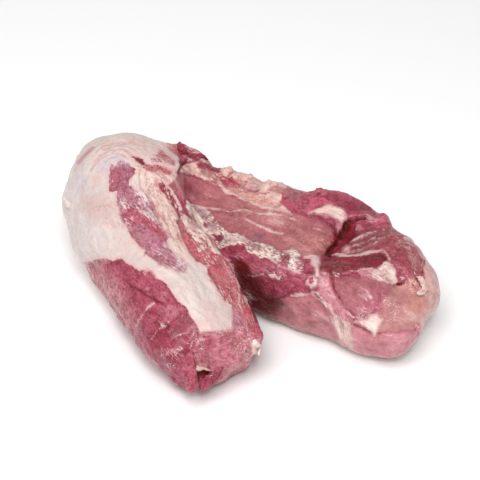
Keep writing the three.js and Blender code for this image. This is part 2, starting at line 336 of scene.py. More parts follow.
class Surface:
    """The loin's dense skin and the numbers that are painted on its vertices.

    Attributes:
        places: Vertex places in millimetres.
        normals: Unit vectors out of the surface.
        edges: Pairs of joined vertices.
    """

    SUBDIVISIONS = 2
    BASE_HEIGHT = 1e-5
    FAR = 30.0
    NUMBERS = (
        "fat", "streak", "soft", "film", "scraped", "crack", "crease", "sparkle", "cavity", "mingle", "coarse_fibre",
    )
    TINTS = ("lean_tint", "fat_tint")
    PAINTED = NUMBERS + TINTS + ("way",)

    def __init__(self, source: bpy.types.Object) -> None:
        """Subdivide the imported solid.

        Args:
            source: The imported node, which stays as it is.
        """
        self.object = self._subdivided(source)
        mesh = self.object.data
        self.count = len(mesh.vertices)
        self.places = self._places()
        edges = np.zeros(len(mesh.edges) * 2, np.int64)
        mesh.edges.foreach_get("vertices", edges)
        self.edges = edges.reshape(-1, 2)
        self.degree = np.bincount(self.edges.ravel(), minlength=self.count)
        self.normals = self._normals()
        self.fat = np.full(self.count, -self.FAR)
        self.streak = np.full(self.count, self.FAR)
        self.height = np.zeros(self.count)
        self.mingle = np.zeros(self.count)
        self.film = np.zeros(self.count)
        self.soft = np.full(self.count, 0.5)
        self.scraped = np.zeros(self.count)
        self.crack = np.full(self.count, self.FAR)
        self.crease = np.full(self.count, self.FAR)
        self.lean_tint = np.tile(np.array(Tissue.LEAN.value.tint[:3]), (self.count, 1))
        self.fat_tint = np.tile(np.array(Tissue.FAT.value.tint[:3]), (self.count, 1))
        self.sparkle = np.zeros(self.count)
        self.cavity = np.zeros(self.count)
        self.fine_fibre = np.zeros(self.count)
        self.coarse_fibre = np.zeros(self.count)
        self.way = np.zeros((self.count, 3))

    def _subdivided(self, source: bpy.types.Object) -> bpy.types.Object:
        """A new object with the source's faces joined in fours and subdivided."""
        work = bmesh.new()
        work.from_mesh(source.data)
        bmesh.ops.remove_doubles(work, verts=work.verts, dist=1e-6)
        base = [f for f in work.faces if all(v.co.z < self.BASE_HEIGHT for v in f.verts)]
        bmesh.ops.dissolve_faces(work, faces=base)
        triangles = [f for f in work.faces if len(f.verts) == 3]
        wide = 1.2
        bmesh.ops.join_triangles(work, faces=triangles, angle_face_threshold=wide, angle_shape_threshold=wide)
        mesh = bpy.data.meshes.new("loin_meat")
        work.to_mesh(mesh)
        work.free()
        made = bpy.data.objects.new("loin_meat", mesh)
        bpy.context.scene.collection.objects.link(made)
        skin = made.modifiers.new("skin", "SUBSURF")
        skin.levels = skin.render_levels = self.SUBDIVISIONS
        apply_modifiers(made)
        return made

    def _places(self) -> Array:
        """The mesh's vertices in millimetres."""
        flat = np.zeros(self.count * 3, np.float32)
        self.object.data.vertices.foreach_get("co", flat)
        return flat.reshape(-1, 3).astype(float) / MM

    def _normals(self) -> Array:
        """The mesh's vertex normals."""
        flat = np.zeros(self.count * 3, np.float32)
        self.object.data.vertex_normals.foreach_get("vector", flat)
        return flat.reshape(-1, 3).astype(float)

    def pairs(self) -> Array:
        """Pairs of vertices that share a face, across its corners too."""
        mesh = self.object.data
        corners = np.zeros(len(mesh.polygons) * 4, np.int64)
        mesh.polygons.foreach_get("vertices", corners)
        corners = corners.reshape(-1, 4)
        return np.concatenate([self.edges, corners[:, [0, 2]], corners[:, [1, 3]]])

    def store_places(self) -> None:
        """Write the places back to the mesh and take its new normals."""
        mesh = self.object.data
        mesh.vertices.foreach_set("co", (self.places * MM).astype(np.float32).ravel())
        mesh.update()
        self.normals = self._normals()

    def spread(self, values: Array, passes: int) -> Array:
        """Even values out over the surface, each pass half way to the neighbours' mean."""
        first, second = self.edges.T
        for _ in range(passes):
            if values.ndim == 1:
                total = np.bincount(first, values[second], self.count)
                total += np.bincount(second, values[first], self.count)
                values = (values + total / self.degree) / 2
            else:
                values = np.stack([self.spread(v, 1) for v in values.T], axis=1)
        return values

    def seen_from(self, view: View) -> Array:
        """Which vertices a view sees, as True or False."""
        mesh = self.object.data
        vertices = [Vector(p) for p in self.places]
        faces = [tuple(p.vertices) for p in mesh.polygons]
        tree = BVHTree.FromPolygons(vertices, faces)
        towards = view.place() - self.places
        towards /= np.linalg.norm(towards, axis=1, keepdims=True)
        seen = (self.normals * towards).sum(axis=1) > 0.04
        lift = 0.6
        for i in np.flatnonzero(seen):
            start = Vector(self.places[i] + self.normals[i] * lift)
            if tree.ray_cast(start, Vector(towards[i]))[0] is not None:
                seen[i] = False
        return seen

    def grow(self, flakes: list[tuple[Array, list[tuple[int, ...]], Look]]) -> None:
        """Add torn tags to the skin's mesh, with their looks.

        Args:
            flakes: For each tag its vertices in millimetres, its faces and its look.
        """
        faces = [tuple(p.vertices) for p in self.object.data.polygons]
        flat, full = [], {name: [getattr(self, name)] for name in self.PAINTED}
        for places, corners, look in flakes:
            offset = self.count + sum(map(len, flat))
            flat.append(places)
            faces += [tuple(offset + i for i in corner) for corner in corners]
            ones = np.ones(len(places))
            looks = {
                "fat": ones * (6 if look.is_fat else -6),
                "streak": ones * self.FAR,
                "crack": ones * self.FAR,
                "crease": ones * self.FAR,
                "soft": ones * 0.5,
                "film": ones * look.film,
                "scraped": ones * look.scraped,
                "coarse_fibre": noise(places, 4.0, 5),
                "way": np.tile((0.6, 0.0, 0.8), (len(places), 1)),
                "lean_tint": np.tile(look.tint[:3], (len(places), 1)),
                "fat_tint": np.tile(look.tint[:3], (len(places), 1)),
            }
            for name, parts in full.items():
                parts.append(looks.get(name, ones * 0))
        for name, parts in full.items():
            setattr(self, name, np.concatenate(parts))
        self.places = np.concatenate([self.places, *flat])
        self.count = len(self.places)
        mesh = bpy.data.meshes.new("loin_meat")
        mesh.from_pydata((self.places * MM).tolist(), [], faces)
        self.object.data = mesh

    def tree(self) -> BVHTree:
        """A search tree of the skin as it is now."""
        faces = [tuple(p.vertices) for p in self.object.data.polygons]
        return BVHTree.FromPolygons([Vector(p) for p in self.places], faces)


def apply_modifiers(made: bpy.types.Object) -> None:
    """Replace an object's mesh by what its modifiers make of it."""
    evaluated = made.evaluated_get(bpy.context.evaluated_depsgraph_get())
    mesh = bpy.data.meshes.new_from_object(evaluated)
    made.modifiers.clear()
    made.data = mesh


@dataclass(frozen=True)
class Flake:
    """A torn tag of tissue that stands off the surface.

    Attributes:
        path: The view's pixels from its root to its tip.
        width: Millimetres across at its root.
        thick: Millimetres through at its root.
        tissue: What it is.
        lift: Millimetres that its tip stands off the surface.
        free: Whether it sticks out past the outline, in a plane across the view.
        tip: Share of its width that is left at its tip.
    """

    path: Outline
    width: float
    thick: float
    tissue: Tissue
    lift: float = 2.0
    free: bool = False
    tip: float = 0.35
    rings: int = 9
    around: int = 12

    def _centres(self, tree: BVHTree, view: View) -> tuple[Array, Array]:
        """The middles of its rings, and the surface's normal at its root."""
        points = np.array(self.path, float)
        steps = np.linspace(0, len(points) - 1, self.rings)
        pixels = np.stack([np.interp(steps, range(len(points)), side) for side in points.T], axis=1)
        hit, normal, _, _ = tree.ray_cast(Vector(view.place()), Vector(view.ray(tuple(pixels[0]))))
        if hit is None:
            raise ValueError(f"the flake's root {self.path[0]} misses the surface")
        root, out = np.array(hit), np.array(normal)
        centres = []
        for share, pixel in zip(np.linspace(0, 1, self.rings), pixels):
            across, down = (pixel - pixels[0]) * view.pixel_size()
            place = root + view.right() * across - view.up() * down
            if not self.free:
                landed = tree.ray_cast(Vector(view.place()), Vector(view.ray(tuple(pixel))))
                if landed[0] is not None and np.linalg.norm(np.array(landed[0]) - place) < 12:
                    place = np.array(landed[0])
                place = place + out * self.lift * share
            centres.append(place)
        return np.array(centres), out

    def form(self, tree: BVHTree, view: View) -> tuple[Array, list[tuple[int, ...]]]:
        """Its vertices in millimetres, and its faces."""
        centres, normal = self._centres(tree, view)
        forward = np.gradient(centres, axis=0)
        forward /= np.linalg.norm(forward, axis=1, keepdims=True)
        out = view.back() if self.free else normal
        centres[0] -= forward[0] * self.thick + normal * self.thick * 0.6
        shares = np.linspace(0, 1, self.rings)
        turns = np.linspace(0, 2 * math.pi, self.around, endpoint=False)
        rings = []
        for centre, way, share in zip(centres, forward, shares):
            side = np.cross(way, out)
            side /= np.linalg.norm(side)
            top = np.cross(side, way)
            half = self.width / 2 * (1 - (1 - self.tip) * share**1.6)
            deep = self.thick / 2 * (1 - 0.6 * share)
            rings.append(centre + np.outer(np.cos(turns) * half, side) + np.outer(np.sin(turns) * deep, top))
        places = np.concatenate(rings + [centres[:1], centres[-1:] + forward[-1:] * self.thick * 0.2])
        for size, share in ((4.0, 0.18), (2.2, 0.08)):
            places += share * self.width * np.stack([noise(places, size, 101 + i) for i in range(3)], axis=1)
        count, last = self.around, (self.rings - 1) * self.around
        start, tip = len(places) - 2, len(places) - 1
        faces = []
        for ring in range(self.rings - 1):
            for i in range(count):
                j = (i + 1) % count
                a, b = ring * count, (ring + 1) * count
                faces.append((a + i, b + i, b + j, a + j))
        faces += [(start, i, (i + 1) % count) for i in range(count)]
        faces += [(tip, last + (i + 1) % count, last + i) for i in range(count)]
        return places, faces


@dataclass(frozen=True)
class Nudge:
    """A shift of the form across a view, which fits its outline to what the view shows.

    Attributes:
        spot: Where it is strongest, in the view's pixels.
        shift: How far it moves there, in pixels to the right and down.
        reach: Pixels over which it fades.
    """

    spot: tuple[float, float]
    shift: tuple[float, float]
    reach: float


@dataclass
class Painter:
    """Lays patches and strokes over the side of the surface that a view sees.

    Attributes:
        surface: The surface.
        view: The camera that pixels belong to.
        wander: Millimetres that outlines stray by, so that none is straight.
        mingled_soft: Millimetres over which mingled streaks fade at least.
    """

    surface: Surface
    view: View
    wander: float = 1.1
    mingled_soft: float = 0.9

    def __post_init__(self) -> None:
        """Find each vertex's pixel and the vertices in view."""
        places = self.surface.places
        pixels = self.view.project(places)
        size = self.view.pixel_size()
        stray = np.stack([rough_noise(places, 8.0, 11), rough_noise(places, 8.0, 23)], axis=1)
        self.pixels = pixels + stray * self.wander / size
        self.seen = self.surface.seen_from(self.view)

    def _near(self, line: Outline, closed: bool) -> tuple[Array, Array]:
        """The seen vertices near a line, and their distance to it in millimetres, positive inside."""
        points = np.array(line, float)
        size = self.view.pixel_size()
        margin = self.surface.FAR / size
        low, high = points.min(axis=0) - margin, points.max(axis=0) + margin
        close = self.seen & (self.pixels > low).all(axis=1) & (self.pixels < high).all(axis=1)
        which = np.flatnonzero(close)
        away, inside = to_segments(self.pixels[which], line, closed)
        return which, np.where(inside, away, -away) * size

    def patch(self, patch: Patch) -> None:
        """Lay a patch over what is there."""
        surface = self.surface
        look = patch.tissue.value
        which, depth = self._near(patch.outline, closed=True)
        if patch.fray:
            depth = depth + patch.fray * rough_noise(surface.places[which], 5.0, 31)
        if look.is_fat:
            surface.fat[which] = np.maximum(surface.fat[which], depth)
            tints = surface.fat_tint
        else:
            surface.fat[which] = np.minimum(surface.fat[which], -depth)
            tints = surface.lean_tint
        share = smooth_step(-patch.edge / 2, patch.edge / 2, depth) * patch.strength
        tints[which] += (np.array(look.tint[:3]) - tints[which]) * share[:, None]
        surface.film[which] += (look.film - surface.film[which]) * share
        border = smooth_step(patch.edge * 2, patch.edge, np.abs(depth)) * patch.strength
        surface.soft[which] += (patch.edge * 0.35 - surface.soft[which]) * border
        surface.scraped[which] += (look.scraped - surface.scraped[which]) * share
        surface.mingle[which] += (patch.mingle - surface.mingle[which]) * share
        if patch.mingle:
            held = patch.mingle * patch.balance * (1 if look.is_fat else -1)
            surface.fat[which] += (held - surface.fat[which]) * share
            soft = max(self.mingled_soft, patch.edge * 0.25)
            surface.soft[which] += (soft - surface.soft[which]) * share
        if patch.rise:
            ramp = max(patch.swell, 2.4)
            start = -1.2 if patch.swell == 0 else 0.0
            t = np.clip((depth - start) / ramp, 0, 1)
            surface.height[which] += patch.rise * (1 - (1 - t) ** 2)
        if patch.crag:
            spots = surface.places[which]
            lumps = rough_noise(spots, 6.5, 37) + 0.35 * noise(spots, 2.8, 39)
            surface.height[which] += patch.crag * lumps * smooth_step(-1, 4, depth)

    def tint(self, patch: Patch) -> None:
        """Tint what is there with a patch's colour, and leave fat and lean as they are."""
        surface = self.surface
        which, depth = self._near(patch.outline, closed=True)
        depth = depth + patch.fray * rough_noise(surface.places[which], 4.0, 31)
        share = smooth_step(-patch.edge / 2, patch.edge / 2, depth)[:, None] * patch.strength
        colour = np.array(patch.tissue.value.tint[:3])
        for tints in (surface.fat_tint, surface.lean_tint):
            tints[which] += (colour - tints[which]) * share

    def glisten(self, outline: Outline) -> None:
        """Let an area sparkle with moisture: more coat, and glint dots painted into its colour as highlights."""
        which, depth = self._near(outline, closed=True)
        share = smooth_step(-5, 5, depth)
        self.surface.sparkle[which] = np.maximum(self.surface.sparkle[which], share)

    def stroke(self, stroke: Stroke) -> None:
        """Draw a stroke."""
        surface = self.surface
        which, away = self._near(stroke.line, closed=False)
        away = -away
        half = stroke.width / 2
        if stroke.kind is Line.STREAK:
            broken = 1.0 * rough_noise(surface.places[which], 7.0, 47) - 0.05
            surface.streak[which] = np.minimum(surface.streak[which], away - half - broken)
        profile = np.exp(-((away / max(half, 1.3)) ** 2))
        sign = 1 if stroke.kind is Line.RIDGE else -1
        surface.height[which] += sign * stroke.depth * profile
        # The material paints crack lines dark red and crease lines red, as painted shade.
        if stroke.kind in (Line.CRACK, Line.CREASE):
            lines = getattr(surface, stroke.kind.value)
            lines[which] = np.minimum(lines[which], away - half)


# The loin's sub-assemblies, each with its outlines in pixels of the photograph


@dataclass
class Fold:
    """The dome where the loin turns over, under its fat cap, and the cap's tongue below it."""

    cap: Outline = (
        (40, 110), (160, 110), (170, 138), (176, 146), (179, 164), (177, 176), (172, 184),
        (175, 194), (180, 206), (182, 216), (177, 222), (184, 240), (188, 248), (195, 259),
        (208, 269), (207, 276), (213, 284), (219, 294), (225, 301), (233, 305), (233, 321),
        (232, 330), (224, 331), (208, 332), (199, 334), (198, 328), (191, 318), (187, 309),
        (181, 305), (176, 300), (171, 291), (168, 286), (163, 282), (156, 278), (153, 273),
        (147, 271), (139, 271), (133, 267), (126, 263), (123, 259), (114, 261), (108, 259),
        (101, 258), (94, 261), (84, 262), (60, 256), (40, 200),
    )
    crown: Outline = ((60, 120), (165, 120), (165, 142), (140, 141), (118, 144), (98, 154), (84, 168), (66, 190))
    scraped: Outline = (
        (136, 162), (150, 172), (166, 176), (178, 168), (172, 184), (176, 200), (181, 216),
        (178, 226), (184, 240), (192, 254), (186, 262), (176, 252), (166, 238), (159, 222),
        (152, 208), (146, 194), (142, 180),
    )
    side: Outline = ((60, 180), (84, 176), (98, 190), (100, 220), (104, 256), (80, 262), (60, 230))
    rosy: Outline = ((84, 198), (108, 196), (118, 212), (112, 228), (92, 222), (82, 210))
    window: Outline = (
        (112, 166), (115, 167), (117, 169), (119, 163), (122, 161), (128, 165), (133, 169), (133, 174),
        (129, 177), (127, 186), (126, 192), (121, 190), (117, 189), (113, 192), (110, 192), (110, 180),
    )
    window_side: Outline = ((122, 164), (132, 168), (131, 177), (128, 182), (126, 192), (120, 191), (121, 174))
    window_tail: Outline = ((118, 189), (121, 190), (122, 204), (118, 206))
    veil: Outline = (
        (117, 191), (128, 186), (136, 192), (146, 193), (151, 204), (158, 220), (166, 236),
        (167, 248), (176, 256), (186, 266), (184, 272), (172, 268), (160, 264), (148, 254),
        (136, 240), (130, 230), (122, 218), (120, 204),
    )
    middle_lean: Outline = (
        (123, 216), (126, 210), (133, 207), (140, 208), (146, 214), (146, 222), (142, 227), (134, 228), (127, 223),
    )
    lower_lean: Outline = (
        (134, 232), (138, 226), (146, 224), (154, 226), (161, 231), (165, 238), (163, 244), (160, 250),
        (152, 250), (144, 246), (138, 240),
    )
    red_band: Outline = ((146, 216), (150, 218), (157, 226), (165, 236), (165, 241), (159, 238), (151, 231), (144, 224))
    long_stripe: Outline = ((143, 166), (150, 165), (158, 165), (171, 171), (170, 175), (158, 172), (147, 171))
    fan_stripe: Outline = (
        (154, 155), (158, 155), (159, 150), (163, 151), (169, 157), (175, 163), (174, 166), (166, 163), (158, 158),
    )
    thin_stripe: Outline = ((151, 159), (156, 159), (161, 161), (161, 163), (152, 162))
    top_stripe: Outline = ((165, 144), (174, 144), (178, 150), (176, 156), (169, 151))
    sliver: Outline = (
        (158, 184), (162, 183), (167, 187), (170, 194), (176, 203), (180, 211), (185, 219),
        (179, 218), (174, 208), (168, 199), (162, 192),
    )
    violet_streak: Outline = ((92, 146), (95, 148), (82, 163), (78, 166), (77, 162))
    violet_bruise: Outline = ((77, 175), (87, 178), (89, 190), (82, 194), (76, 188))
    violet_smear: Outline = ((97, 158), (106, 160), (108, 176), (103, 176), (99, 168))
    violet_halo: Outline = ((112, 156), (124, 156), (130, 166), (118, 166), (110, 168))
    tongue_tip: Outline = ((196, 304), (222, 302), (236, 306), (236, 332), (196, 336))
    notch: Outline = ((132, 157), (138, 158), (142, 159), (145, 164), (144, 169), (141, 165), (137, 161))
    crack: Outline = ((140, 172), (139, 178), (140, 184), (142, 192))
    creases: tuple[Outline, ...] = (
        ((120, 143), (133, 142), (145, 146)),
        ((104, 151), (114, 147), (124, 149), (131, 155)),
        ((110, 157), (120, 154), (128, 158)),
        ((145, 142), (147, 147), (148, 152)),
        ((157, 184), (150, 190), (147, 197)),
        ((160, 200), (168, 212), (173, 226)),
        ((186, 268), (196, 284), (203, 304)),
        ((172, 276), (182, 288), (188, 302)),
    )
    wrinkles: tuple[Outline, ...] = (
        ((103, 150), (115, 146), (128, 147), (137, 151)),
        ((98, 156), (110, 150), (122, 150), (133, 155)),
        ((97, 160), (106, 156), (117, 153), (126, 157)),
        ((117, 145), (128, 143), (139, 145), (146, 150)),
        ((90, 172), (94, 166), (100, 160)),
        ((108, 146), (120, 142), (134, 142)),
        ((150, 176), (158, 180), (166, 181)),
        ((146, 172), (147, 182), (144, 190)),
        ((164, 222), (172, 236), (182, 252)),
        ((156, 206), (165, 224), (174, 240)),
        ((153, 193), (157, 199), (160, 205)),
        ((166, 231), (170, 236), (173, 242)),
        ((183, 215), (193, 226), (200, 236), (207, 244)),
        ((188, 232), (196, 242), (204, 252)),
        ((112, 152), (121, 149), (131, 152)),
        ((96, 153), (103, 147), (113, 143)),
        ((126, 140), (136, 140), (144, 143)),
        ((104, 163), (110, 158), (118, 156)),
        ((94, 163), (99, 157), (106, 153)),
        ((138, 148), (143, 152), (146, 157)),
        ((150, 168), (156, 173), (164, 175)),
        ((158, 196), (165, 203), (171, 213)),
        ((148, 196), (153, 204), (158, 216)),
        ((168, 214), (174, 224), (178, 236)),
    )
    flecks: tuple[Outline, ...] = (
        ((109, 226), (114, 224), (117, 228), (111, 230)),
        ((105, 217), (112, 219), (111, 222)),
        ((114, 222), (122, 224), (123, 228), (117, 227)),
        ((96, 206), (112, 204), (114, 208), (98, 210)),
    )
    glints: tuple[Outline, ...] = (
        ((150, 160), (178, 166), (172, 186), (156, 184), (160, 206), (150, 200), (144, 176)),
    )

    flakes: tuple[Flake, ...] = (
        Flake(((70, 206), (66, 201), (62, 197)), 6.0, 3.0, Tissue.FAT, free=True, tip=0.4),
    )

    def patches(self) -> list[Patch]:
        """The tissues of the fold, from the lowest to the topmost."""
        return [
            Patch(self.cap, Tissue.FAT, rise=1.1),
            Patch(self.scraped, Tissue.SCRAPED_FAT, edge=6.0, crag=1.0),
            *[Patch(spot, Tissue.SPECKLED_FAT, edge=6.0, fray=3.0) for spot in self.flecks],
            Patch(self.veil, Tissue.VEILED_LEAN, edge=8.0, fray=2.5),
            Patch(self.veil, Tissue.VEIL_FAT, edge=8.0, fray=2.5, mingle=1.6, balance=-0.2),
            Patch(self.window, Tissue.WINDOW_LEAN, edge=3.0, rise=-0.5, fray=1.4, mingle=1.6, balance=1.5),
            Patch(self.window_tail, Tissue.VIOLET_LEAN, edge=3.0, mingle=1.2),
            Patch(self.middle_lean, Tissue.ROSE_LEAN, edge=6.0, fray=1.5, mingle=1.6, balance=1.3),
            Patch(self.lower_lean, Tissue.VEILED_LEAN, edge=6.0, fray=1.5, mingle=1.6, balance=1.3),
            Patch(self.red_band, Tissue.BRIGHT_LEAN, edge=5.0, mingle=2.0),
            Patch(self.long_stripe, Tissue.STRIPE_LEAN, edge=4.0, rise=-0.4, fray=0.8),
            Patch(self.fan_stripe, Tissue.PALE_LEAN, edge=4.0, rise=-0.4, fray=0.8),
            Patch(self.thin_stripe, Tissue.PALE_LEAN, mingle=1.0),
            Patch(self.top_stripe, Tissue.STRIPE_LEAN, edge=4.0, rise=-0.4, fray=0.8),
            Patch(self.sliver, Tissue.DEEP_LEAN, edge=2.4, rise=-1.0, mingle=1.2),
            # Painted shade: the notch in the fat is laid in dark red.
            Patch(self.notch, Tissue.BLOOD, edge=1.6, strength=0.7, rise=-0.6, fray=1.2),
        ]

    def tints(self) -> list[Patch]:
        """Soft changes of colour over the fold."""
        return [
            Patch(self.side, Tissue.SIDE_FAT, edge=20.0, strength=0.9),
            Patch(self.crown, Tissue.CROWN_FAT, edge=18.0, strength=0.9),
            Patch(self.rosy, Tissue.ROSY_FAT, edge=14.0, strength=0.7),
            Patch(self.violet_streak, Tissue.VIOLET_LEAN, edge=2.5, strength=0.7),
            Patch(self.violet_bruise, Tissue.VIOLET_FAT, edge=7.0, strength=0.7),
            Patch(self.violet_smear, Tissue.VIOLET_FAT, edge=5.0, strength=0.7),
            Patch(self.violet_halo, Tissue.VIOLET_FAT, edge=8.0, strength=0.7),
            Patch(self.window_side, Tissue.VIOLET_LEAN, edge=4.0, strength=0.6),
            Patch(self.tongue_tip, Tissue.ROSY_FAT, edge=10.0, strength=0.4),
        ]

    def strokes(self) -> list[Stroke]:
        """Creases and wrinkles of the fat and the crack beside the scraped strip; the wrinkles and the crack are
        painted red as shade.
        """
        creases = [Stroke(line, Line.GROOVE, 2.4, 0.8) for line in self.creases]
        wrinkles = [Stroke(line, Line.CREASE, 0.8, 0.3) for line in self.wrinkles]
        return [
            *creases,
            *wrinkles,
            Stroke(self.crack, Line.CREASE, 1.4, 0.9),
        ]


@dataclass
class ShoulderLimb:
    """The bared lean of the shoulder limb: its outer flank, its strip beside the gap, its cut end."""

    outer_flank: Outline = ((80, 262), (94, 262), (120, 280), (134, 310), (136, 340), (150, 362), (110, 330))
    upper_flank: Outline = (
        (104, 262), (124, 262), (152, 276), (168, 288), (182, 308), (176, 314), (150, 296), (122, 280),
    )
    flank_strip: Outline = (
        (177, 222), (184, 240), (188, 248), (195, 259), (208, 269), (207, 276), (213, 284),
        (219, 294), (225, 301), (233, 305), (233, 321), (236, 330), (258, 334), (256, 323),
        (251, 307), (244, 296), (239, 287), (237, 280), (234, 270), (232, 263), (227, 258),
        (220, 254), (212, 245), (205, 235), (197, 226), (182, 216),
    )
    strip_cream: Outline = (
        (182, 214), (190, 219), (200, 226), (206, 235), (213, 245), (221, 254), (216, 255),
        (208, 249), (199, 241), (191, 231), (184, 222),
    )
    strip_violet: Outline = ((232, 308), (240, 312), (244, 324), (240, 330), (233, 326))
    cut_face: Outline = (
        (199, 334), (208, 332), (224, 331), (232, 330), (246, 325), (262, 322), (268, 336),
        (266, 350), (256, 368), (240, 384), (222, 384), (214, 377), (200, 371), (192, 362), (192, 350),
    )
    cut_tip: Outline = ((198, 336), (212, 334), (214, 346), (204, 356), (194, 352))
    cut_speckle: Outline = ((232, 327), (248, 326), (252, 350), (244, 372), (228, 374), (232, 350))
    red_lump: Outline = ((252, 328), (258, 326), (264, 332), (264, 340), (259, 343), (253, 340))
    cream_nub: Outline = ((252, 343), (259, 342), (260, 350), (256, 355), (251, 352))
    hollow: Outline = ((197, 373), (204, 370), (217, 373), (219, 376), (212, 378), (201, 378), (198, 386))
    end_cream: Outline = ((192, 366), (197, 365), (205, 367), (212, 370), (203, 372), (195, 371))
    slit: Outline = ((113, 272), (118, 275), (123, 281), (130, 285))
    deep_slit: Outline = ((129, 285), (139, 290), (147, 295), (156, 300), (164, 304))
    crease: Outline = ((198, 334), (195, 341), (192, 348), (193, 354), (190, 366))
    crease_line: Outline = ((197, 334), (193, 342), (190, 349), (191, 355))
    soft_groove: Outline = ((180, 312), (171, 321), (163, 329))
    lower_shade: Outline = ((148, 330), (170, 322), (188, 324), (192, 350), (190, 372), (170, 368), (150, 350))
    edge_slit: Outline = ((200, 238), (204, 241), (207, 245), (209, 250))
    veins: tuple[Outline, ...] = (
        ((154, 303), (147, 308), (143, 314), (138, 321), (134, 328), (134, 334)),
        ((158, 321), (164, 326), (170, 320)),
        ((164, 326), (157, 330), (154, 336), (151, 339)),
        ((172, 338), (181, 334), (188, 332)),
        ((186, 372), (190, 369), (195, 373), (197, 380)),
    )
    edge_lines: tuple[Outline, ...] = (
        ((221, 255), (229, 260), (232, 267), (236, 278), (239, 287)),
        ((239, 287), (239, 301), (244, 314), (248, 324)),
        ((244, 296), (250, 308), (255, 321)),
    )

    glints: tuple[Outline, ...] = (
        ((158, 350), (182, 350), (188, 366), (166, 368)),
        ((228, 326), (250, 322), (256, 336), (250, 362), (236, 366), (232, 344)),
        ((196, 336), (206, 336), (204, 352), (194, 356)),
        ((232, 262), (238, 290), (243, 304), (237, 304), (230, 290), (226, 280)),
    )

    flakes: tuple[Flake, ...] = (
        Flake(((185, 362), (189, 376), (193, 388)), 15.0, 7.0, Tissue.ROSE_LEAN, free=True, tip=0.55),
        Flake(((215, 372), (210, 380), (202, 387)), 11.0, 5.0, Tissue.LEAN, free=True, tip=0.4),
        Flake(((254, 343), (259, 347), (257, 354)), 6.0, 4.0, Tissue.CREAM_FAT, tip=0.6),
    )

    def patches(self) -> list[Patch]:
        """The tissues of the limb, from the lowest to the topmost."""
        return [
            Patch(self.flank_strip, Tissue.FLECKED_LEAN, edge=3.0, fray=1.5, crag=0.8, mingle=1.5),
            Patch(self.strip_cream, Tissue.SCRAPED_FAT, edge=2.0, rise=0.8, mingle=1.6),
            Patch(self.cut_face, Tissue.CUT_LEAN, edge=3.0, crag=1.2),
            Patch(self.cut_speckle, Tissue.SPECKLED_LEAN, edge=8.0),
            Patch(self.red_lump, Tissue.BRIGHT_LEAN, edge=3.0, rise=1.6, swell=5.0),
            Patch(self.cream_nub, Tissue.CREAM_FAT, rise=1.2, swell=4.0),
            Patch(self.end_cream, Tissue.CREAM_FAT, rise=0.6, fray=1.5),
            # Painted shade: the hollow under the cut end is laid in dark red.
            Patch(self.hollow, Tissue.BLOOD, edge=2.5, rise=-5.0, swell=4.0),
        ]

    def tints(self) -> list[Patch]:
        """Soft changes of colour over the limb, and painted shade over its lower part."""
        return [
            Patch(self.outer_flank, Tissue.PALE_LEAN, edge=18.0, strength=0.55),
            Patch(self.upper_flank, Tissue.ROSE_LEAN, edge=8.0, strength=0.3),
            Patch(self.lower_shade, Tissue.DEEP_LEAN, edge=14.0, strength=0.9),
            Patch(self.strip_violet, Tissue.VIOLET_LEAN, edge=5.0, strength=0.7),
            Patch(self.cut_tip, Tissue.LEAN, edge=8.0, strength=0.8),
        ]

    def strokes(self) -> list[Stroke]:
        """The long slit, veins, and the cut end's crease."""
        veins = [Stroke(line, Line.STREAK, 0.7, 0.1) for line in self.veins]
        # Pale lines of membrane along the strip's edges, which also stand for painted highlight on these edges.
        edges = [Stroke(line, Line.STREAK, 0.9, -0.3) for line in self.edge_lines]
        return [
            *veins,
            *edges,
            Stroke(self.slit, Line.GROOVE, 3.0, 1.2),
            Stroke(self.deep_slit, Line.CRACK, 1.2, 1.4),
            Stroke(self.crease, Line.GROOVE, 3.0, 2.0),
            Stroke(self.crease_line, Line.STREAK, 0.8, -0.3),
            Stroke(self.soft_groove, Line.GROOVE, 3.6, 0.9),
            Stroke(self.edge_slit, Line.CRACK, 1.0, 1.2),
        ]


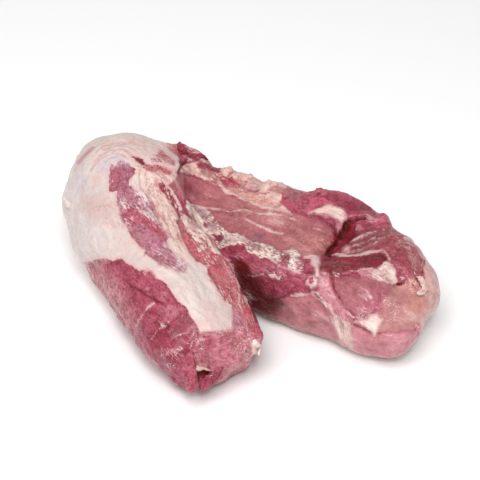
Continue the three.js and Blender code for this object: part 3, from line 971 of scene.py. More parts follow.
@dataclass
class RumpTop:
    """The bone side of the rump limb: its smooth lean, its far rim and its mottled near rim."""

    smooth: Outline = (
        (168, 186), (179, 176), (187, 176), (197, 180), (207, 180), (215, 184), (220, 189),
        (226, 194), (236, 198), (245, 201), (253, 206), (268, 209), (290, 212), (310, 218),
        (334, 228), (336, 240), (330, 252), (318, 256), (305, 258), (294, 249), (281, 254),
        (269, 246), (253, 243), (241, 234), (228, 233), (221, 226), (210, 213), (193, 207),
    )
    dusky: Outline = ((174, 184), (184, 176), (200, 180), (206, 190), (196, 203), (184, 202))
    bruise: Outline = ((250, 242), (256, 236), (262, 235), (263, 239), (259, 244))
    pale_films: tuple[Outline, ...] = (
        ((228, 201), (246, 202), (262, 208), (282, 213), (302, 220), (298, 229), (276, 223), (256, 219), (236, 214)),
        ((284, 240), (298, 233), (316, 236), (328, 243), (324, 252), (306, 256), (292, 249)),
    )
    violet_bruise: Outline = ((193, 209), (200, 209), (211, 216), (208, 220), (198, 215))
    grey_lumps: tuple[Outline, ...] = (
        ((195, 208), (204, 209), (210, 216), (204, 220), (197, 215)),
        ((205, 222), (213, 222), (217, 228), (210, 231)),
        ((222, 236), (230, 238), (232, 243), (224, 243)),
    )
    clump: Outline = (
        (179, 151), (182, 147), (187, 149), (195, 152), (199, 156), (199, 160), (195, 163), (188, 163), (184, 158),
    )
    clump_edge: Outline = ((176, 146), (181, 137), (190, 146), (200, 152), (204, 159), (199, 159), (192, 153))
    rim_fat: Outline = (
        (196, 161), (204, 159), (212, 162), (220, 162), (241, 162), (258, 174), (270, 180),
        (284, 180), (290, 190), (283, 198), (282, 204), (290, 213), (278, 211), (268, 209),
        (258, 207), (242, 199), (233, 195), (226, 193), (220, 188), (215, 183), (206, 179),
        (196, 176), (187, 173), (179, 172), (178, 166), (188, 164),
    )
    rim_red: Outline = ((196, 164), (204, 164), (216, 168), (221, 170), (218, 175), (208, 170), (198, 168))
    window: Outline = ((216, 175), (223, 175), (231, 178), (237, 181), (243, 187), (233, 187), (226, 186), (221, 181))
    window_tail: Outline = ((236, 184), (248, 187), (262, 190), (270, 196), (258, 195), (244, 190))
    peach_band: Outline = ((232, 190), (248, 193), (262, 198), (274, 202), (282, 207), (268, 206), (250, 201), (238, 196))
    rim_nub: Outline = ((268, 192), (274, 183), (282, 184), (285, 192), (281, 203), (273, 200))
    near_mottle: Outline = (
        (186, 203), (196, 207), (210, 213), (221, 226), (228, 234), (241, 235), (253, 243),
        (269, 246), (281, 254), (294, 249), (300, 254), (292, 262), (280, 262), (266, 258),
        (258, 256), (250, 252), (245, 246), (230, 245), (217, 246), (210, 241), (203, 230), (193, 220),
    )
    mottle_reds: tuple[Outline, ...] = (
        ((202, 223), (208, 223), (210, 226), (205, 228)),
        ((212, 236), (220, 235), (226, 238), (222, 242), (214, 241)),
        ((228, 249), (236, 245), (245, 246), (244, 250), (236, 253), (230, 254)),
        ((213, 219), (216, 220), (215, 223), (212, 222)),
    )
    cream_patch: Outline = (
        (246, 239), (256, 244), (269, 245), (276, 250), (281, 254), (276, 257), (267, 257),
        (258, 253), (250, 247),
    )
    pore_patch: Outline = ((286, 261), (292, 258), (301, 262), (303, 270), (296, 272), (289, 267))
    purple_lump: Outline = ((280, 256), (288, 254), (291, 259), (287, 265), (281, 263))
    silver: tuple[Outline, ...] = (
        ((194, 207), (207, 209), (221, 210), (231, 213), (241, 210), (250, 212), (262, 215), (271, 215)),
        ((271, 215), (284, 216), (297, 222), (309, 227), (326, 233)),
        ((246, 220), (255, 224), (263, 229), (272, 232), (282, 234)),
        ((264, 208), (274, 210), (290, 213), (298, 223)),
        ((212, 183), (221, 187), (232, 194), (247, 202)),
        ((304, 258), (312, 256), (322, 257)),
        ((192, 208), (202, 219), (212, 230), (226, 238), (240, 243)),
        ((206, 224), (222, 231), (236, 239), (254, 246), (270, 252), (282, 262)),
        ((198, 222), (210, 236), (222, 244)),
    )
    crevice: Outline = ((172, 186), (177, 196), (183, 206), (192, 216), (203, 228), (212, 240), (222, 250), (232, 261))
    shadow_pocket: Outline = ((186, 161), (183, 164), (180, 167), (178, 172))
    rim_slit: Outline = ((248, 189), (253, 192), (260, 191))
    rim_groove: Outline = ((205, 171), (216, 177), (228, 188), (244, 196), (262, 202), (276, 206))

    glints: tuple[Outline, ...] = (
        ((284, 258), (304, 258), (304, 272), (286, 268)),
    )

    flakes: tuple[Flake, ...] = (
        Flake(((184, 152), (181, 146), (180, 141)), 9.0, 6.0, Tissue.DEEP_LEAN, free=True, tip=0.2),
        Flake(((200, 156), (204, 157), (208, 160)), 5.0, 4.0, Tissue.DEEP_LEAN, free=True),
        Flake(((264, 190), (270, 185), (277, 184)), 10.0, 7.0, Tissue.RIM_FAT, free=True, tip=0.6),
        Flake(((224, 173), (232, 169)), 9.0, 6.0, Tissue.RIM_FAT, free=True, tip=0.6),
        Flake(((244, 178), (252, 177)), 8.0, 6.0, Tissue.RIM_FAT, free=True, tip=0.6),
    )

    def patches(self) -> list[Patch]:
        """The tissues of the rump's top, from the lowest to the topmost."""
        reds = [Patch(spot, Tissue.DEEP_LEAN, edge=2.0, fray=1.5) for spot in self.mottle_reds]
        return [
            Patch(self.smooth, Tissue.SMOOTH_LEAN, edge=3.0, rise=0.6),
            Patch(self.near_mottle, Tissue.MOTTLE_LEAN, edge=4.0, fray=2.0),
            Patch(self.near_mottle, Tissue.MOTTLED_FAT, edge=3.0, rise=0.8, fray=2.6, crag=2.6, mingle=1.8, balance=0.5),
            *reds,
            Patch(self.cream_patch, Tissue.CREAM_FAT, rise=1.0, fray=2.0, crag=1.2, mingle=0.8),
            Patch(self.pore_patch, Tissue.MOTTLED_FAT, edge=4.0, rise=0.4, fray=2.5, mingle=1.8, balance=0.2),
            Patch(self.purple_lump, Tissue.DEEP_LEAN, edge=3.0, rise=0.8, swell=3.0),
            Patch(self.rim_fat, Tissue.STRIPE_LEAN, edge=4.0, fray=1.6),
            Patch(self.rim_fat, Tissue.RIM_FAT, rise=0.9, fray=1.6, crag=2.8, mingle=1.2, balance=0.9),
            Patch(self.clump_edge, Tissue.BRIGHT_LEAN, edge=2.5, crag=3.0, mingle=1.6),
            Patch(self.clump, Tissue.DEEP_LEAN, edge=2.0, rise=-0.6, fray=1.5, crag=2.0, mingle=1.0),
            Patch(self.rim_red, Tissue.LEAN, edge=2.0, fray=1.5, mingle=1.6),
            Patch(self.window, Tissue.BRIGHT_LEAN, edge=1.5, rise=-0.7, mingle=1.2),
            Patch(self.window_tail, Tissue.PALE_LEAN, edge=2.0, fray=1.5, mingle=1.2),
            Patch(self.rim_nub, Tissue.RIM_FAT, rise=1.2, swell=4.0, mingle=1.4),
        ]

    def tints(self) -> list[Patch]:
        """Soft changes of colour over the rump's top."""
        return [
            Patch(self.dusky, Tissue.DEEP_LEAN, edge=10.0, strength=0.35),
            *[Patch(film, Tissue.PEACH_LEAN, edge=10.0, strength=0.6, fray=2.5) for film in self.pale_films],
            Patch(self.bruise, Tissue.BRUISE, edge=4.0, strength=0.75),
            Patch(self.violet_bruise, Tissue.BRUISE, edge=5.0, strength=0.55),
            Patch(self.peach_band, Tissue.PEACH_FAT, edge=4.0, strength=0.8),
            *[Patch(lump, Tissue.GREY_VIOLET, edge=5.0, strength=0.6, fray=1.5) for lump in self.grey_lumps],
        ]

    def strokes(self) -> list[Stroke]:
        """Lines of silverskin, and the crevice under the shoulder limb."""
        lines = [Stroke(line, Line.STREAK, 0.9, -0.3) for line in self.silver]
        return [
            *lines,
            Stroke(self.crevice, Line.GROOVE, 3.0, 1.6),
            Stroke(self.shadow_pocket, Line.CRACK, 2.4, 2.4),
            Stroke(self.rim_slit, Line.CRACK, 1.0, 1.0),
            Stroke(self.rim_groove, Line.GROOVE, 3.0, 1.0),
        ]


@dataclass
class RumpEnd:
    """The muscles at the rump's end, round the deep gash."""

    far_muscle: Outline = (
        (281, 193), (290, 184), (316, 184), (330, 188), (348, 195), (340, 210), (330, 208),
        (318, 206), (308, 212), (298, 211), (290, 208), (280, 206),
    )
    upright: Outline = (
        (316, 184), (322, 182), (336, 186), (358, 194), (372, 204), (380, 214), (372, 222),
        (356, 228), (345, 222), (344, 214), (338, 208), (328, 200), (320, 194),
    )
    cream_lip: Outline = (
        (309, 212), (318, 208), (326, 206), (335, 207), (343, 210), (347, 217), (346, 225),
        (341, 223), (334, 219), (326, 216), (316, 213),
    )
    lip_tail: Outline = ((334, 218), (344, 220), (344, 228), (340, 234), (337, 230), (336, 223))
    gash: Outline = (
        (345, 221), (349, 223), (349, 230), (346, 236), (341, 240), (337, 245), (332, 250), (330, 256),
        (326, 256), (327, 250), (331, 246), (335, 241), (338, 235), (339, 230), (342, 226),
    )
    gash_wall: Outline = ((334, 224), (340, 228), (338, 238), (334, 244), (329, 250), (324, 254), (328, 244), (333, 234))
    gash_side: Outline = (
        (346, 218), (354, 222), (356, 230), (351, 240), (344, 248), (336, 254), (328, 258), (330, 250),
        (338, 242), (344, 232),
    )
    upright_shade: Outline = ((346, 206), (358, 198), (372, 206), (380, 216), (372, 224), (354, 222))
    fold_shade: Outline = ((346, 220), (353, 223), (364, 226), (374, 222), (377, 218), (368, 224), (356, 220))
    soft_band: Outline = ((343, 254), (356, 250), (366, 246), (378, 240), (387, 234), (390, 238), (378, 245), (360, 253))
    seam_side: Outline = (
        (318, 277), (329, 276), (332, 290), (338, 300), (346, 311), (352, 318), (348, 322), (338, 316),
        (328, 305), (320, 293),
    )
    outline_lump: Outline = ((372, 226), (377, 216), (383, 214), (388, 217), (391, 224), (390, 229), (382, 229))
    fan: Outline = (
        (346, 246), (350, 239), (358, 231), (368, 228), (380, 228), (392, 228), (396, 238), (382, 247),
        (366, 252), (350, 255), (341, 254),
    )
    fan_head: Outline = ((340, 248), (346, 243), (351, 245), (350, 252), (342, 253))
    top_muscle: Outline = (
        (388, 226), (396, 224), (412, 236), (424, 250), (426, 262), (421, 272), (417, 279),
        (404, 281), (398, 278), (404, 267), (398, 258), (388, 254), (382, 249), (392, 240),
    )
    outer_band: Outline = (
        (410, 236), (420, 240), (434, 262), (446, 290), (446, 310), (430, 306), (427, 292),
        (426, 276), (423, 262), (416, 248),
    )
    long_muscle: Outline = (
        (318, 265), (324, 260), (331, 257), (346, 257), (361, 256), (372, 254), (382, 252), (387, 257),
        (386, 262), (382, 266), (370, 267), (360, 268), (352, 271), (343, 272), (330, 273), (320, 272),
    )
    muscle_hollow: Outline = ((374, 255), (382, 254), (386, 257), (387, 261), (384, 261), (380, 257))
    lip_line: Outline = ((333, 255), (347, 256), (361, 255), (370, 252), (382, 250), (387, 253), (389, 259))
    band_line: Outline = ((343, 273), (357, 271), (361, 269), (370, 268), (379, 270))
    round_muscle: Outline = (
        (333, 279), (339, 276), (357, 278), (376, 277), (386, 281), (391, 286), (389, 291),
        (384, 294), (379, 304), (374, 308), (371, 313), (362, 315), (353, 314), (343, 303),
        (337, 294), (334, 287),
    )
    cream_lobe: Outline = (
        (372, 273), (380, 268), (385, 263), (389, 261), (393, 267), (397, 276), (397, 283), (391, 284), (384, 281),
        (376, 279),
    )
    membrane: Outline = (
        (391, 287), (398, 284), (410, 282), (420, 286), (432, 292), (448, 296), (448, 320),
        (430, 332), (414, 332), (398, 332), (382, 332), (380, 320), (380, 312), (384, 300),
    )
    amber: Outline = ((410, 300), (420, 298), (428, 306), (424, 318), (413, 320))
    end_pale: Outline = ((424, 280), (446, 282), (450, 320), (430, 332), (422, 320), (430, 304))
    pink_bits: Outline = ((358, 270), (370, 269), (379, 271), (380, 276), (370, 278), (360, 277))
    round_red: Outline = ((372, 290), (380, 287), (388, 290), (386, 300), (378, 308), (368, 312), (362, 308))
    tag_bed: Outline = ((408, 280), (416, 278), (418, 290), (412, 295), (408, 288))
    cream_patch: Outline = (
        (352, 321), (364, 320), (370, 317), (378, 313), (382, 320), (379, 328), (376, 336),
        (373, 336), (370, 331), (362, 327),
    )
    seam_band: Outline = (
        (336, 314), (342, 318), (350, 323), (352, 334), (353, 350), (344, 344), (337, 334), (333, 322),
    )
    tip_muscle: Outline = (
        (351, 325), (371, 334), (378, 334), (394, 332), (418, 330), (418, 344), (404, 356),
        (388, 366), (366, 360), (350, 352),
    )
    hole: Outline = ((395, 284), (400, 282), (405, 282), (404, 284), (399, 286))
    small_hole: Outline = ((415, 276), (418, 276), (418, 280), (415, 280))
    seam: Outline = ((334, 267), (331, 274), (332, 280), (334, 289), (339, 298), (345, 308), (352, 315))
    deep_seam: Outline = ((334, 267), (331, 274), (332, 280), (334, 289), (339, 298))
    gash_core: Outline = ((346, 224), (344, 230), (341, 236), (336, 243), (331, 250), (328, 254))
    fold_ridge: Outline = ((348, 217), (356, 214), (364, 213), (370, 216))
    low_fold: Outline = ((356, 224), (366, 226), (374, 222))
    seam_nub: Outline = ((333, 271), (337, 270), (340, 273), (339, 276), (334, 275))
    lip_groove: Outline = ((308, 212), (320, 217), (330, 223), (334, 228))
    inner_slit: Outline = ((345, 222), (352, 221), (360, 218), (365, 218))
    flap_crack: Outline = ((320, 193), (324, 196), (328, 200))
    thin_seam: Outline = ((350, 323), (361, 328), (371, 333))
    tip_crease: Outline = ((379, 332), (389, 333), (400, 332), (415, 330))
    round_edge: Outline = ((381, 293), (381, 300), (374, 309))
    round_dip: Outline = ((350, 284), (361, 292), (372, 302))
    tendon: Outline = ((311, 256), (320, 256), (319, 266), (319, 276), (316, 278), (314, 268), (310, 262))
    node_ring: Outline = ((308, 276), (314, 275), (318, 280), (317, 286), (311, 288), (306, 284))
    node_core: Outline = ((309, 278), (313, 278), (315, 282), (312, 285), (309, 283))
    streaks: tuple[Outline, ...] = (
        ((344, 255), (356, 251), (366, 247), (379, 241), (386, 236)),
        ((350, 243), (360, 238), (372, 234), (384, 230)),
        ((354, 247), (366, 243), (376, 237)),
        ((395, 244), (405, 243), (415, 250), (421, 259), (422, 270)),
        ((400, 246), (408, 248), (412, 252)),
        ((313, 272), (322, 273), (331, 275)),
        ((412, 256), (416, 264), (414, 274)),
        ((372, 240), (384, 238), (394, 234)),
        ((404, 238), (412, 242), (418, 250)),
        ((398, 241), (408, 244), (417, 253)),
        ((326, 187), (338, 190), (352, 196), (364, 202)),
        ((354, 240), (364, 235), (376, 231)),
        ((345, 310), (352, 317), (362, 318)),
    )
    far_shades: tuple[Outline, ...] = (
        ((281, 192), (296, 189), (312, 196), (306, 206), (286, 205)),
        ((336, 196), (352, 200), (362, 208), (348, 212)),
        ((392, 246), (404, 248), (410, 262), (402, 270), (396, 258)),
    )
    fan_grooves: tuple[Outline, ...] = (
        ((352, 236), (364, 231), (378, 227)),
        ((352, 246), (366, 240), (380, 232), (392, 231)),
        ((388, 240), (402, 238), (414, 246)),
        ((396, 250), (408, 254), (414, 266)),
        ((322, 264), (340, 263), (360, 261), (376, 258)),
    )

    glints: tuple[Outline, ...] = (
        ((384, 300), (398, 302), (410, 314), (404, 324), (386, 322)),
        ((354, 312), (378, 308), (378, 326), (358, 324)),
        ((404, 276), (428, 276), (430, 298), (410, 298)),
    )

    flakes: tuple[Flake, ...] = (
        Flake(((421, 277), (423, 285), (422, 293)), 8.5, 3.4, Tissue.LOBE_FAT, lift=3.0, tip=0.8),
        Flake(((425, 289), (420, 293), (415, 296)), 6.0, 3.0, Tissue.CREAM_FAT, lift=3.5, tip=0.6),
        Flake(((323, 196), (318, 189)), 9.0, 6.0, Tissue.ROSE_LEAN, free=True, tip=0.5),
        Flake(((416, 326), (422, 332)), 5.0, 3.0, Tissue.PALE_ROSE, free=True),
    )

    def patches(self) -> list[Patch]:
        """The tissues of the rump's end, from the lowest to the topmost."""
        return [
            Patch(self.far_muscle, Tissue.VIOLET_DEEP, edge=3.0, rise=0.6, fray=1.5, crag=1.0),
            Patch(self.upright, Tissue.LEAN, edge=3.0, rise=0.8, swell=4.0),
            # Painted shade: the gash's inner wall is laid in a dark lean.
            Patch(self.gash_wall, Tissue.WALL_LEAN, edge=5.0),
            Patch(self.lip_tail, Tissue.PALE_ROSE, edge=3.0, rise=0.6, fray=1.2),
            Patch(self.cream_lip, Tissue.CREAM_FAT, edge=5.0, rise=0.6, fray=2.0, crag=0.8),
            Patch(self.fan, Tissue.FAN_LEAN, edge=4.0, rise=1.2, swell=5.0),
            Patch(self.fan_head, Tissue.PALE_LEAN, edge=3.0, rise=1.0, swell=3.0, mingle=1.0),
            Patch(self.top_muscle, Tissue.TOP_LEAN, edge=3.0, rise=0.8, swell=5.0, fray=1.5, crag=0.9),
            Patch(self.outline_lump, Tissue.ROSE_LEAN, edge=2.0, rise=1.6),
            Patch(self.outer_band, Tissue.BAND_FAT, edge=4.0, fray=2.0),
            Patch(self.long_muscle, Tissue.DUSKY_LEAN, edge=2.5, rise=1.0, swell=4.0),
            Patch(self.seam_side, Tissue.PALE_ROSE, edge=6.0),
            Patch(self.pink_bits, Tissue.PALE_ROSE, edge=4.0, fray=1.5, mingle=1.4),
            Patch(self.round_muscle, Tissue.ROUND_LEAN, edge=3.0),
            Patch(self.membrane, Tissue.MEMBRANE, edge=8.0),
            Patch(self.tip_muscle, Tissue.TIP_ROSE, edge=4.0, rise=0.8, swell=5.0),
            Patch(self.seam_band, Tissue.CREAM_FAT, edge=8.0, fray=2.8, crag=0.6, mingle=0.7),
            Patch(self.cream_patch, Tissue.CREAM_FAT, edge=8.0, rise=0.4, fray=3.4, crag=0.8),
            Patch(self.cream_lobe, Tissue.SPECKLED_FAT, edge=5.0, rise=0.6, swell=4.0, fray=2.4, crag=2.2,
                  mingle=1.8, balance=0.6),
            Patch(self.seam_nub, Tissue.CREAM_FAT, edge=2.0, fray=1.5, mingle=0.8),
            Patch(self.tendon, Tissue.TENDON, edge=5.0, rise=0.6, fray=1.2),
            Patch(self.node_ring, Tissue.TENDON, edge=4.0, rise=0.8, fray=1.2),
            Patch(self.node_core, Tissue.BRIGHT_LEAN, edge=1.5),
            Patch(self.tag_bed, Tissue.PEACH_LEAN, edge=3.0),
            # Painted shade: the gash's side is laid in a dark lean.
            Patch(self.gash_side, Tissue.WALL_LEAN, edge=8.0, rise=-1.5, swell=4.0, fray=1.5),
            # Painted shade: the gash is laid in dark red.
            Patch(self.gash, Tissue.BLOOD, edge=5.0, rise=-6.0, swell=6.0, fray=1.5),
            # Painted shade: the hollow at the long muscle's end is laid in a dark lean.
            Patch(self.muscle_hollow, Tissue.DARK_LEAN, edge=4.0, rise=-2.0, swell=3.0),
            # Painted shade: the two holes are laid in dark red.
            Patch(self.hole, Tissue.BLOOD, edge=1.5, rise=-4.0, swell=2.4),
            Patch(self.small_hole, Tissue.BLOOD, edge=1.5, rise=-2.0, swell=2.4),
        ]

    def tints(self) -> list[Patch]:
        """Soft changes of colour over the rump's end, and painted shade by its folds."""
        return [
            Patch(self.amber, Tissue.AMBER, edge=12.0, strength=0.7),
            Patch(self.end_pale, Tissue.WARM_FAT, edge=10.0, strength=0.5),
            Patch(self.fold_shade, Tissue.WALL_LEAN, edge=4.0, strength=0.7),
            Patch(self.upright_shade, Tissue.FAN_LEAN, edge=10.0, strength=0.5, fray=2.0),
            Patch(self.soft_band, Tissue.MEMBRANE, edge=5.0, strength=0.3),
            Patch(self.round_red, Tissue.LEAN, edge=9.0, strength=0.6),
            *[Patch(spot, Tissue.DEEP_LEAN, edge=8.0, strength=0.5, fray=2.5) for spot in self.far_shades],
        ]

    def strokes(self) -> list[Stroke]:
        """Streaks of silverskin, grooves between the muscles and the seams, which are painted dark red as shade."""
        streaks = [Stroke(line, Line.STREAK, 0.7, -0.3) for line in self.streaks]
        grooves = [Stroke(line, Line.GROOVE, 2.6, 0.8) for line in self.fan_grooves]
        return [
            *streaks,
            *grooves,
            Stroke(self.lip_line, Line.STREAK, 2.0, -1.0),
            Stroke(self.band_line, Line.STREAK, 1.4, -0.5),
            Stroke(self.seam, Line.GROOVE, 3.0, 1.3),
            Stroke(self.deep_seam, Line.CRACK, 1.0, 1.4),
            Stroke(self.low_fold, Line.GROOVE, 2.6, 1.4),
            Stroke(self.lip_groove, Line.CRACK, 1.0, 1.2),
            Stroke(self.gash_core, Line.CRACK, 2.2, 1.0),
            Stroke(self.fold_ridge, Line.RIDGE, 4.0, 1.4),
            Stroke(self.inner_slit, Line.CRACK, 2.0, 3.0),
            Stroke(self.flap_crack, Line.CRACK, 1.2, 1.6),
            Stroke(self.thin_seam, Line.CRACK, 0.8, 0.8),
            Stroke(self.tip_crease, Line.GROOVE, 3.0, 1.4),
            Stroke(self.round_edge, Line.GROOVE, 3.6, 1.2),
            Stroke(self.round_dip, Line.GROOVE, 4.0, 0.6),
        ]


@dataclass
class RumpFront:
    """The rump limb's front face, which the shoulder limb shades; the shade beside the gap is also painted."""

    shaded: Outline = ((232, 261), (247, 264), (260, 275), (266, 290), (284, 303), (276, 318), (250, 314), (237, 284))
    upper: Outline = (
        (244, 262), (258, 259), (270, 259), (282, 266), (300, 274), (306, 286), (300, 292),
        (282, 296), (266, 298), (252, 290), (246, 276),
    )
    glossy: Outline = ((248, 264), (262, 260), (272, 264), (276, 272), (264, 275), (252, 274))
    lower: Outline = (
        (262, 302), (284, 298), (302, 294), (314, 294), (324, 300), (334, 312), (340, 330),
        (346, 350), (300, 336), (262, 318),
    )
    corner_blood: Outline = ((231, 262), (240, 258), (248, 264), (247, 270), (238, 272))
    white_streak: Outline = ((267, 274), (273, 273), (281, 277), (281, 280), (272, 278))
    arc: Outline = ((292, 295), (302, 294), (313, 294), (322, 298), (329, 305), (336, 317))
    arc_cream: Outline = ((312, 291), (319, 293), (326, 299), (334, 308), (330, 309), (322, 302), (313, 296))
    arc_groove: Outline = ((250, 302), (256, 302), (270, 301), (284, 298))
    pale_line: Outline = ((247, 275), (254, 276), (264, 274))
    top_line: Outline = ((270, 259), (280, 266), (288, 269), (301, 273), (308, 276))
    fibres: tuple[Outline, ...] = (
        ((272, 282), (274, 290), (272, 297)),
        ((281, 280), (284, 289), (284, 296)),
        ((290, 278), (296, 284), (304, 290)),
        ((296, 277), (302, 281), (307, 284)),
    )

    glints: tuple[Outline, ...] = (
        ((266, 268), (282, 270), (286, 280), (268, 280)),
    )

    flakes: tuple[Flake, ...] = ()

    def patches(self) -> list[Patch]:
        """The tissues of the front face, from the lowest to the topmost."""
        return [
            Patch(self.upper, Tissue.LEAN, edge=4.0, rise=1.0, swell=6.0),
            Patch(self.lower, Tissue.LOW_ROSE, edge=4.0, rise=0.6, swell=5.0),
            # Painted shade: the front face beside the gap is laid in a very dark lean.
            Patch(self.shaded, Tissue.GAP_LEAN, edge=12.0, strength=0.95),
            # Painted shade: the corner of the gap under the shoulder limb is laid in dark red.
            Patch(self.corner_blood, Tissue.BLOOD, edge=6.0),
            Patch(self.white_streak, Tissue.CREAM_FAT, edge=2.0, fray=1.4),
            Patch(self.arc_cream, Tissue.CREAM_FAT, edge=4.0, fray=1.6, mingle=1.2),
        ]

    def tints(self) -> list[Patch]:
        """Soft changes of colour over the front face."""
        return [
            # Painted sheen: a lighter lean where the upper front face is glossy.
            Patch(self.glossy, Tissue.CUT_LEAN, edge=6.0, strength=0.4),
        ]

    def strokes(self) -> list[Stroke]:
        """The membrane's arc and the lines between the muscles."""
        fibres = [Stroke(line, Line.GROOVE, 2.4, 0.5) for line in self.fibres]
        return [
            *fibres,
            Stroke(self.arc, Line.STREAK, 1.6, -0.6),
            Stroke(self.arc_groove, Line.GROOVE, 3.0, 1.4),
            Stroke(self.pale_line, Line.STREAK, 0.7, 0.2),
            Stroke(self.top_line, Line.STREAK, 1.2, -0.4),
        ]


# The side that the photograph doesn't show


@dataclass
class FarSide:
    """Rules that finish the side which the photograph doesn't show.

    Attributes:
        dome_end: Where the fat-covered dome ends along the loin, in millimetres.
        limb_start: Where the rump's own far flank starts, in millimetres.
        fat_top: Height of the fat cap's edge on the far flank.
        end_start: Where the pale membrane over the rump's end starts.
        reach: Passes over which painted values run out into the rules' values.
    """

    dome_end: float = -60.0
    limb_start: float = -15.0
    fat_top: float = 33.0
    end_start: float = 120.0
    shoulder_side: tuple[float, float] = (-58.0, -18.0)
    reach: int = 36
    inside_reach: float = 80.0
    inner_wall: tuple[float, float] = (-78.0, -38.0)

    def enclosed(self, surface: Surface, hidden: Array) -> Array:
        """How far each hidden vertex lies in the gap between the limbs, from 0 to 1."""
        tree = surface.tree()
        facing = np.zeros(surface.count)
        for i in np.flatnonzero(hidden & (surface.places[:, 2] > 1.0)):
            normal = surface.normals[i]
            start = Vector(surface.places[i] + normal)
            if tree.ray_cast(start, Vector(normal), self.inside_reach)[0] is not None:
                facing[i] = 1.0
        x, y, _ = surface.places.T
        left, right = self.inner_wall
        wall = smooth_step(0.4, 0.8, surface.normals[:, 0]) * smooth_step(95, 75, y)
        wall *= smooth_step(left - 8, left + 8, x) * smooth_step(right + 8, right - 8, x)
        return np.maximum(smooth_step(0.2, 0.6, surface.spread(facing, 4)), wall)

    def fat_depth(self, surface: Surface, inside: Array) -> Array:
        """The rules' fat: over the dome, and under a ragged edge along the far flank."""
        x, y, z = surface.places.T
        edge = self.fat_top + 7 * rough_noise(surface.places, 30.0, 41)
        flank = np.clip(edge - z, -20, 20)
        dome = 1 - smooth_step(self.dome_end, self.limb_start, x)
        fat = flank * (1 - dome) + 22 * dome
        left, near = self.shoulder_side
        side = smooth_step(left - 10, left + 10, x) * smooth_step(0, 30, near - y)
        bare = smooth_step(0, 25, near - y) * smooth_step(0, 20, 40 - z)
        fat -= 40 * np.maximum(side, bare) * (1 - smooth_step(10, 30, x))
        return fat * (1 - inside) - 12 * inside

    def finish(self, surface: Surface, seen: Array) -> None:
        """Fill the unseen vertices.

        Args:
            surface: The surface, with its seen side painted.
            seen: Which vertices the photograph's camera sees.
        """
        hidden = ~seen
        places = surface.places
        inside = self.enclosed(surface, hidden)
        along = places * np.array([0.22, 1.0, 1.0])
        bands = rough_noise(along, 16.0, 51)
        fat = self.fat_depth(surface, inside)
        lean = self._mixed(Tissue.LEAN, Tissue.DEEP_LEAN, 0.5 + 0.5 * bands)
        end = smooth_step(self.end_start - 20, self.end_start + 20, places[:, 0])
        lean = self._towards(lean, Tissue.MEMBRANE, end * (1 - inside) * 0.8)
        # Painted shade: hidden lean in the gap between the limbs is darkened.
        lean = self._towards(lean, Tissue.DARK_LEAN, inside * 0.6)
        cap = self._mixed(Tissue.FAT, Tissue.WARM_FAT, 0.5 + 0.5 * noise(places, 45.0, 57))
        film = end * 0.6 + 0.15
        scraped = smooth_step(0.1, 0.7, noise(places, 28.0, 61)) * 0.5
        ragged = 7.0 * rough_noise(places, 10.0, 91) * (1 - surface.spread(seen.astype(float), 6))
        surface.fat = self._carry(surface, surface.fat, fat, seen) + np.where(seen, 0, ragged)
        surface.film = self._carry(surface, surface.film, film, seen)
        surface.scraped = self._carry(surface, surface.scraped, scraped, seen)
        surface.mingle = self._carry(surface, surface.mingle, np.zeros(surface.count), seen)
        surface.soft = self._carry(surface, surface.soft, np.full(surface.count, 0.6), seen)
        surface.lean_tint = self._carry(surface, surface.lean_tint, lean, seen)
        surface.fat_tint = self._carry(surface, surface.fat_tint, cap, seen)
        self._strokes(surface, hidden, along)

    @staticmethod
    def _strokes(surface: Surface, hidden: Array, along: Array) -> None:
        """Streaks of silverskin and shallow seams along the hidden lean."""
        room = 1 - surface.spread((~hidden).astype(float), 8)
        open_lean = hidden & (surface.fat < -2) & (room > 0.6)
        line = np.abs(noise(along, 30.0, 71)) * 22 + np.abs(noise(surface.places, 9.0, 73))
        broken = 1.4 * rough_noise(surface.places, 7.0, 79) - 0.5
        surface.streak = np.where(open_lean, np.minimum(surface.streak, line + broken), surface.streak)
        seam = np.abs(noise(along, 44.0, 77)) * 30
        surface.height -= np.where(open_lean, 1.8 * np.exp(-((seam / 2.4) ** 2)), 0)

    def _carry(self, surface: Surface, painted: Array, rule: Array, seen: Array) -> Array:
        """Let painted values run out over the seen area's border into the rule's values."""
        near = surface.spread(seen.astype(float), self.reach)
        share = smooth_step(0.02, 0.35, near)
        flat = painted.ndim == 1
        values = np.where(seen if flat else seen[:, None], painted, rule)
        for _ in range(self.reach):
            values = surface.spread(values, 1)
            values[seen] = painted[seen]
        if not flat:
            share = share[:, None]
        return np.where(seen if flat else seen[:, None], painted, rule + (values - rule) * share)

    @staticmethod
    def _mixed(first: Tissue, second: Tissue, share: Array) -> Array:
        """Colours between two tissues'."""
        start, end = np.array(first.value.tint[:3]), np.array(second.value.tint[:3])
        return start + (end - start) * np.clip(share, 0, 1)[:, None]

    @staticmethod
    def _towards(tints: Array, tissue: Tissue, share: Array) -> Array:
        """Colours moved towards a tissue's."""
        return tints + (np.array(tissue.value.tint[:3]) - tints) * np.clip(share, 0, 1)[:, None]


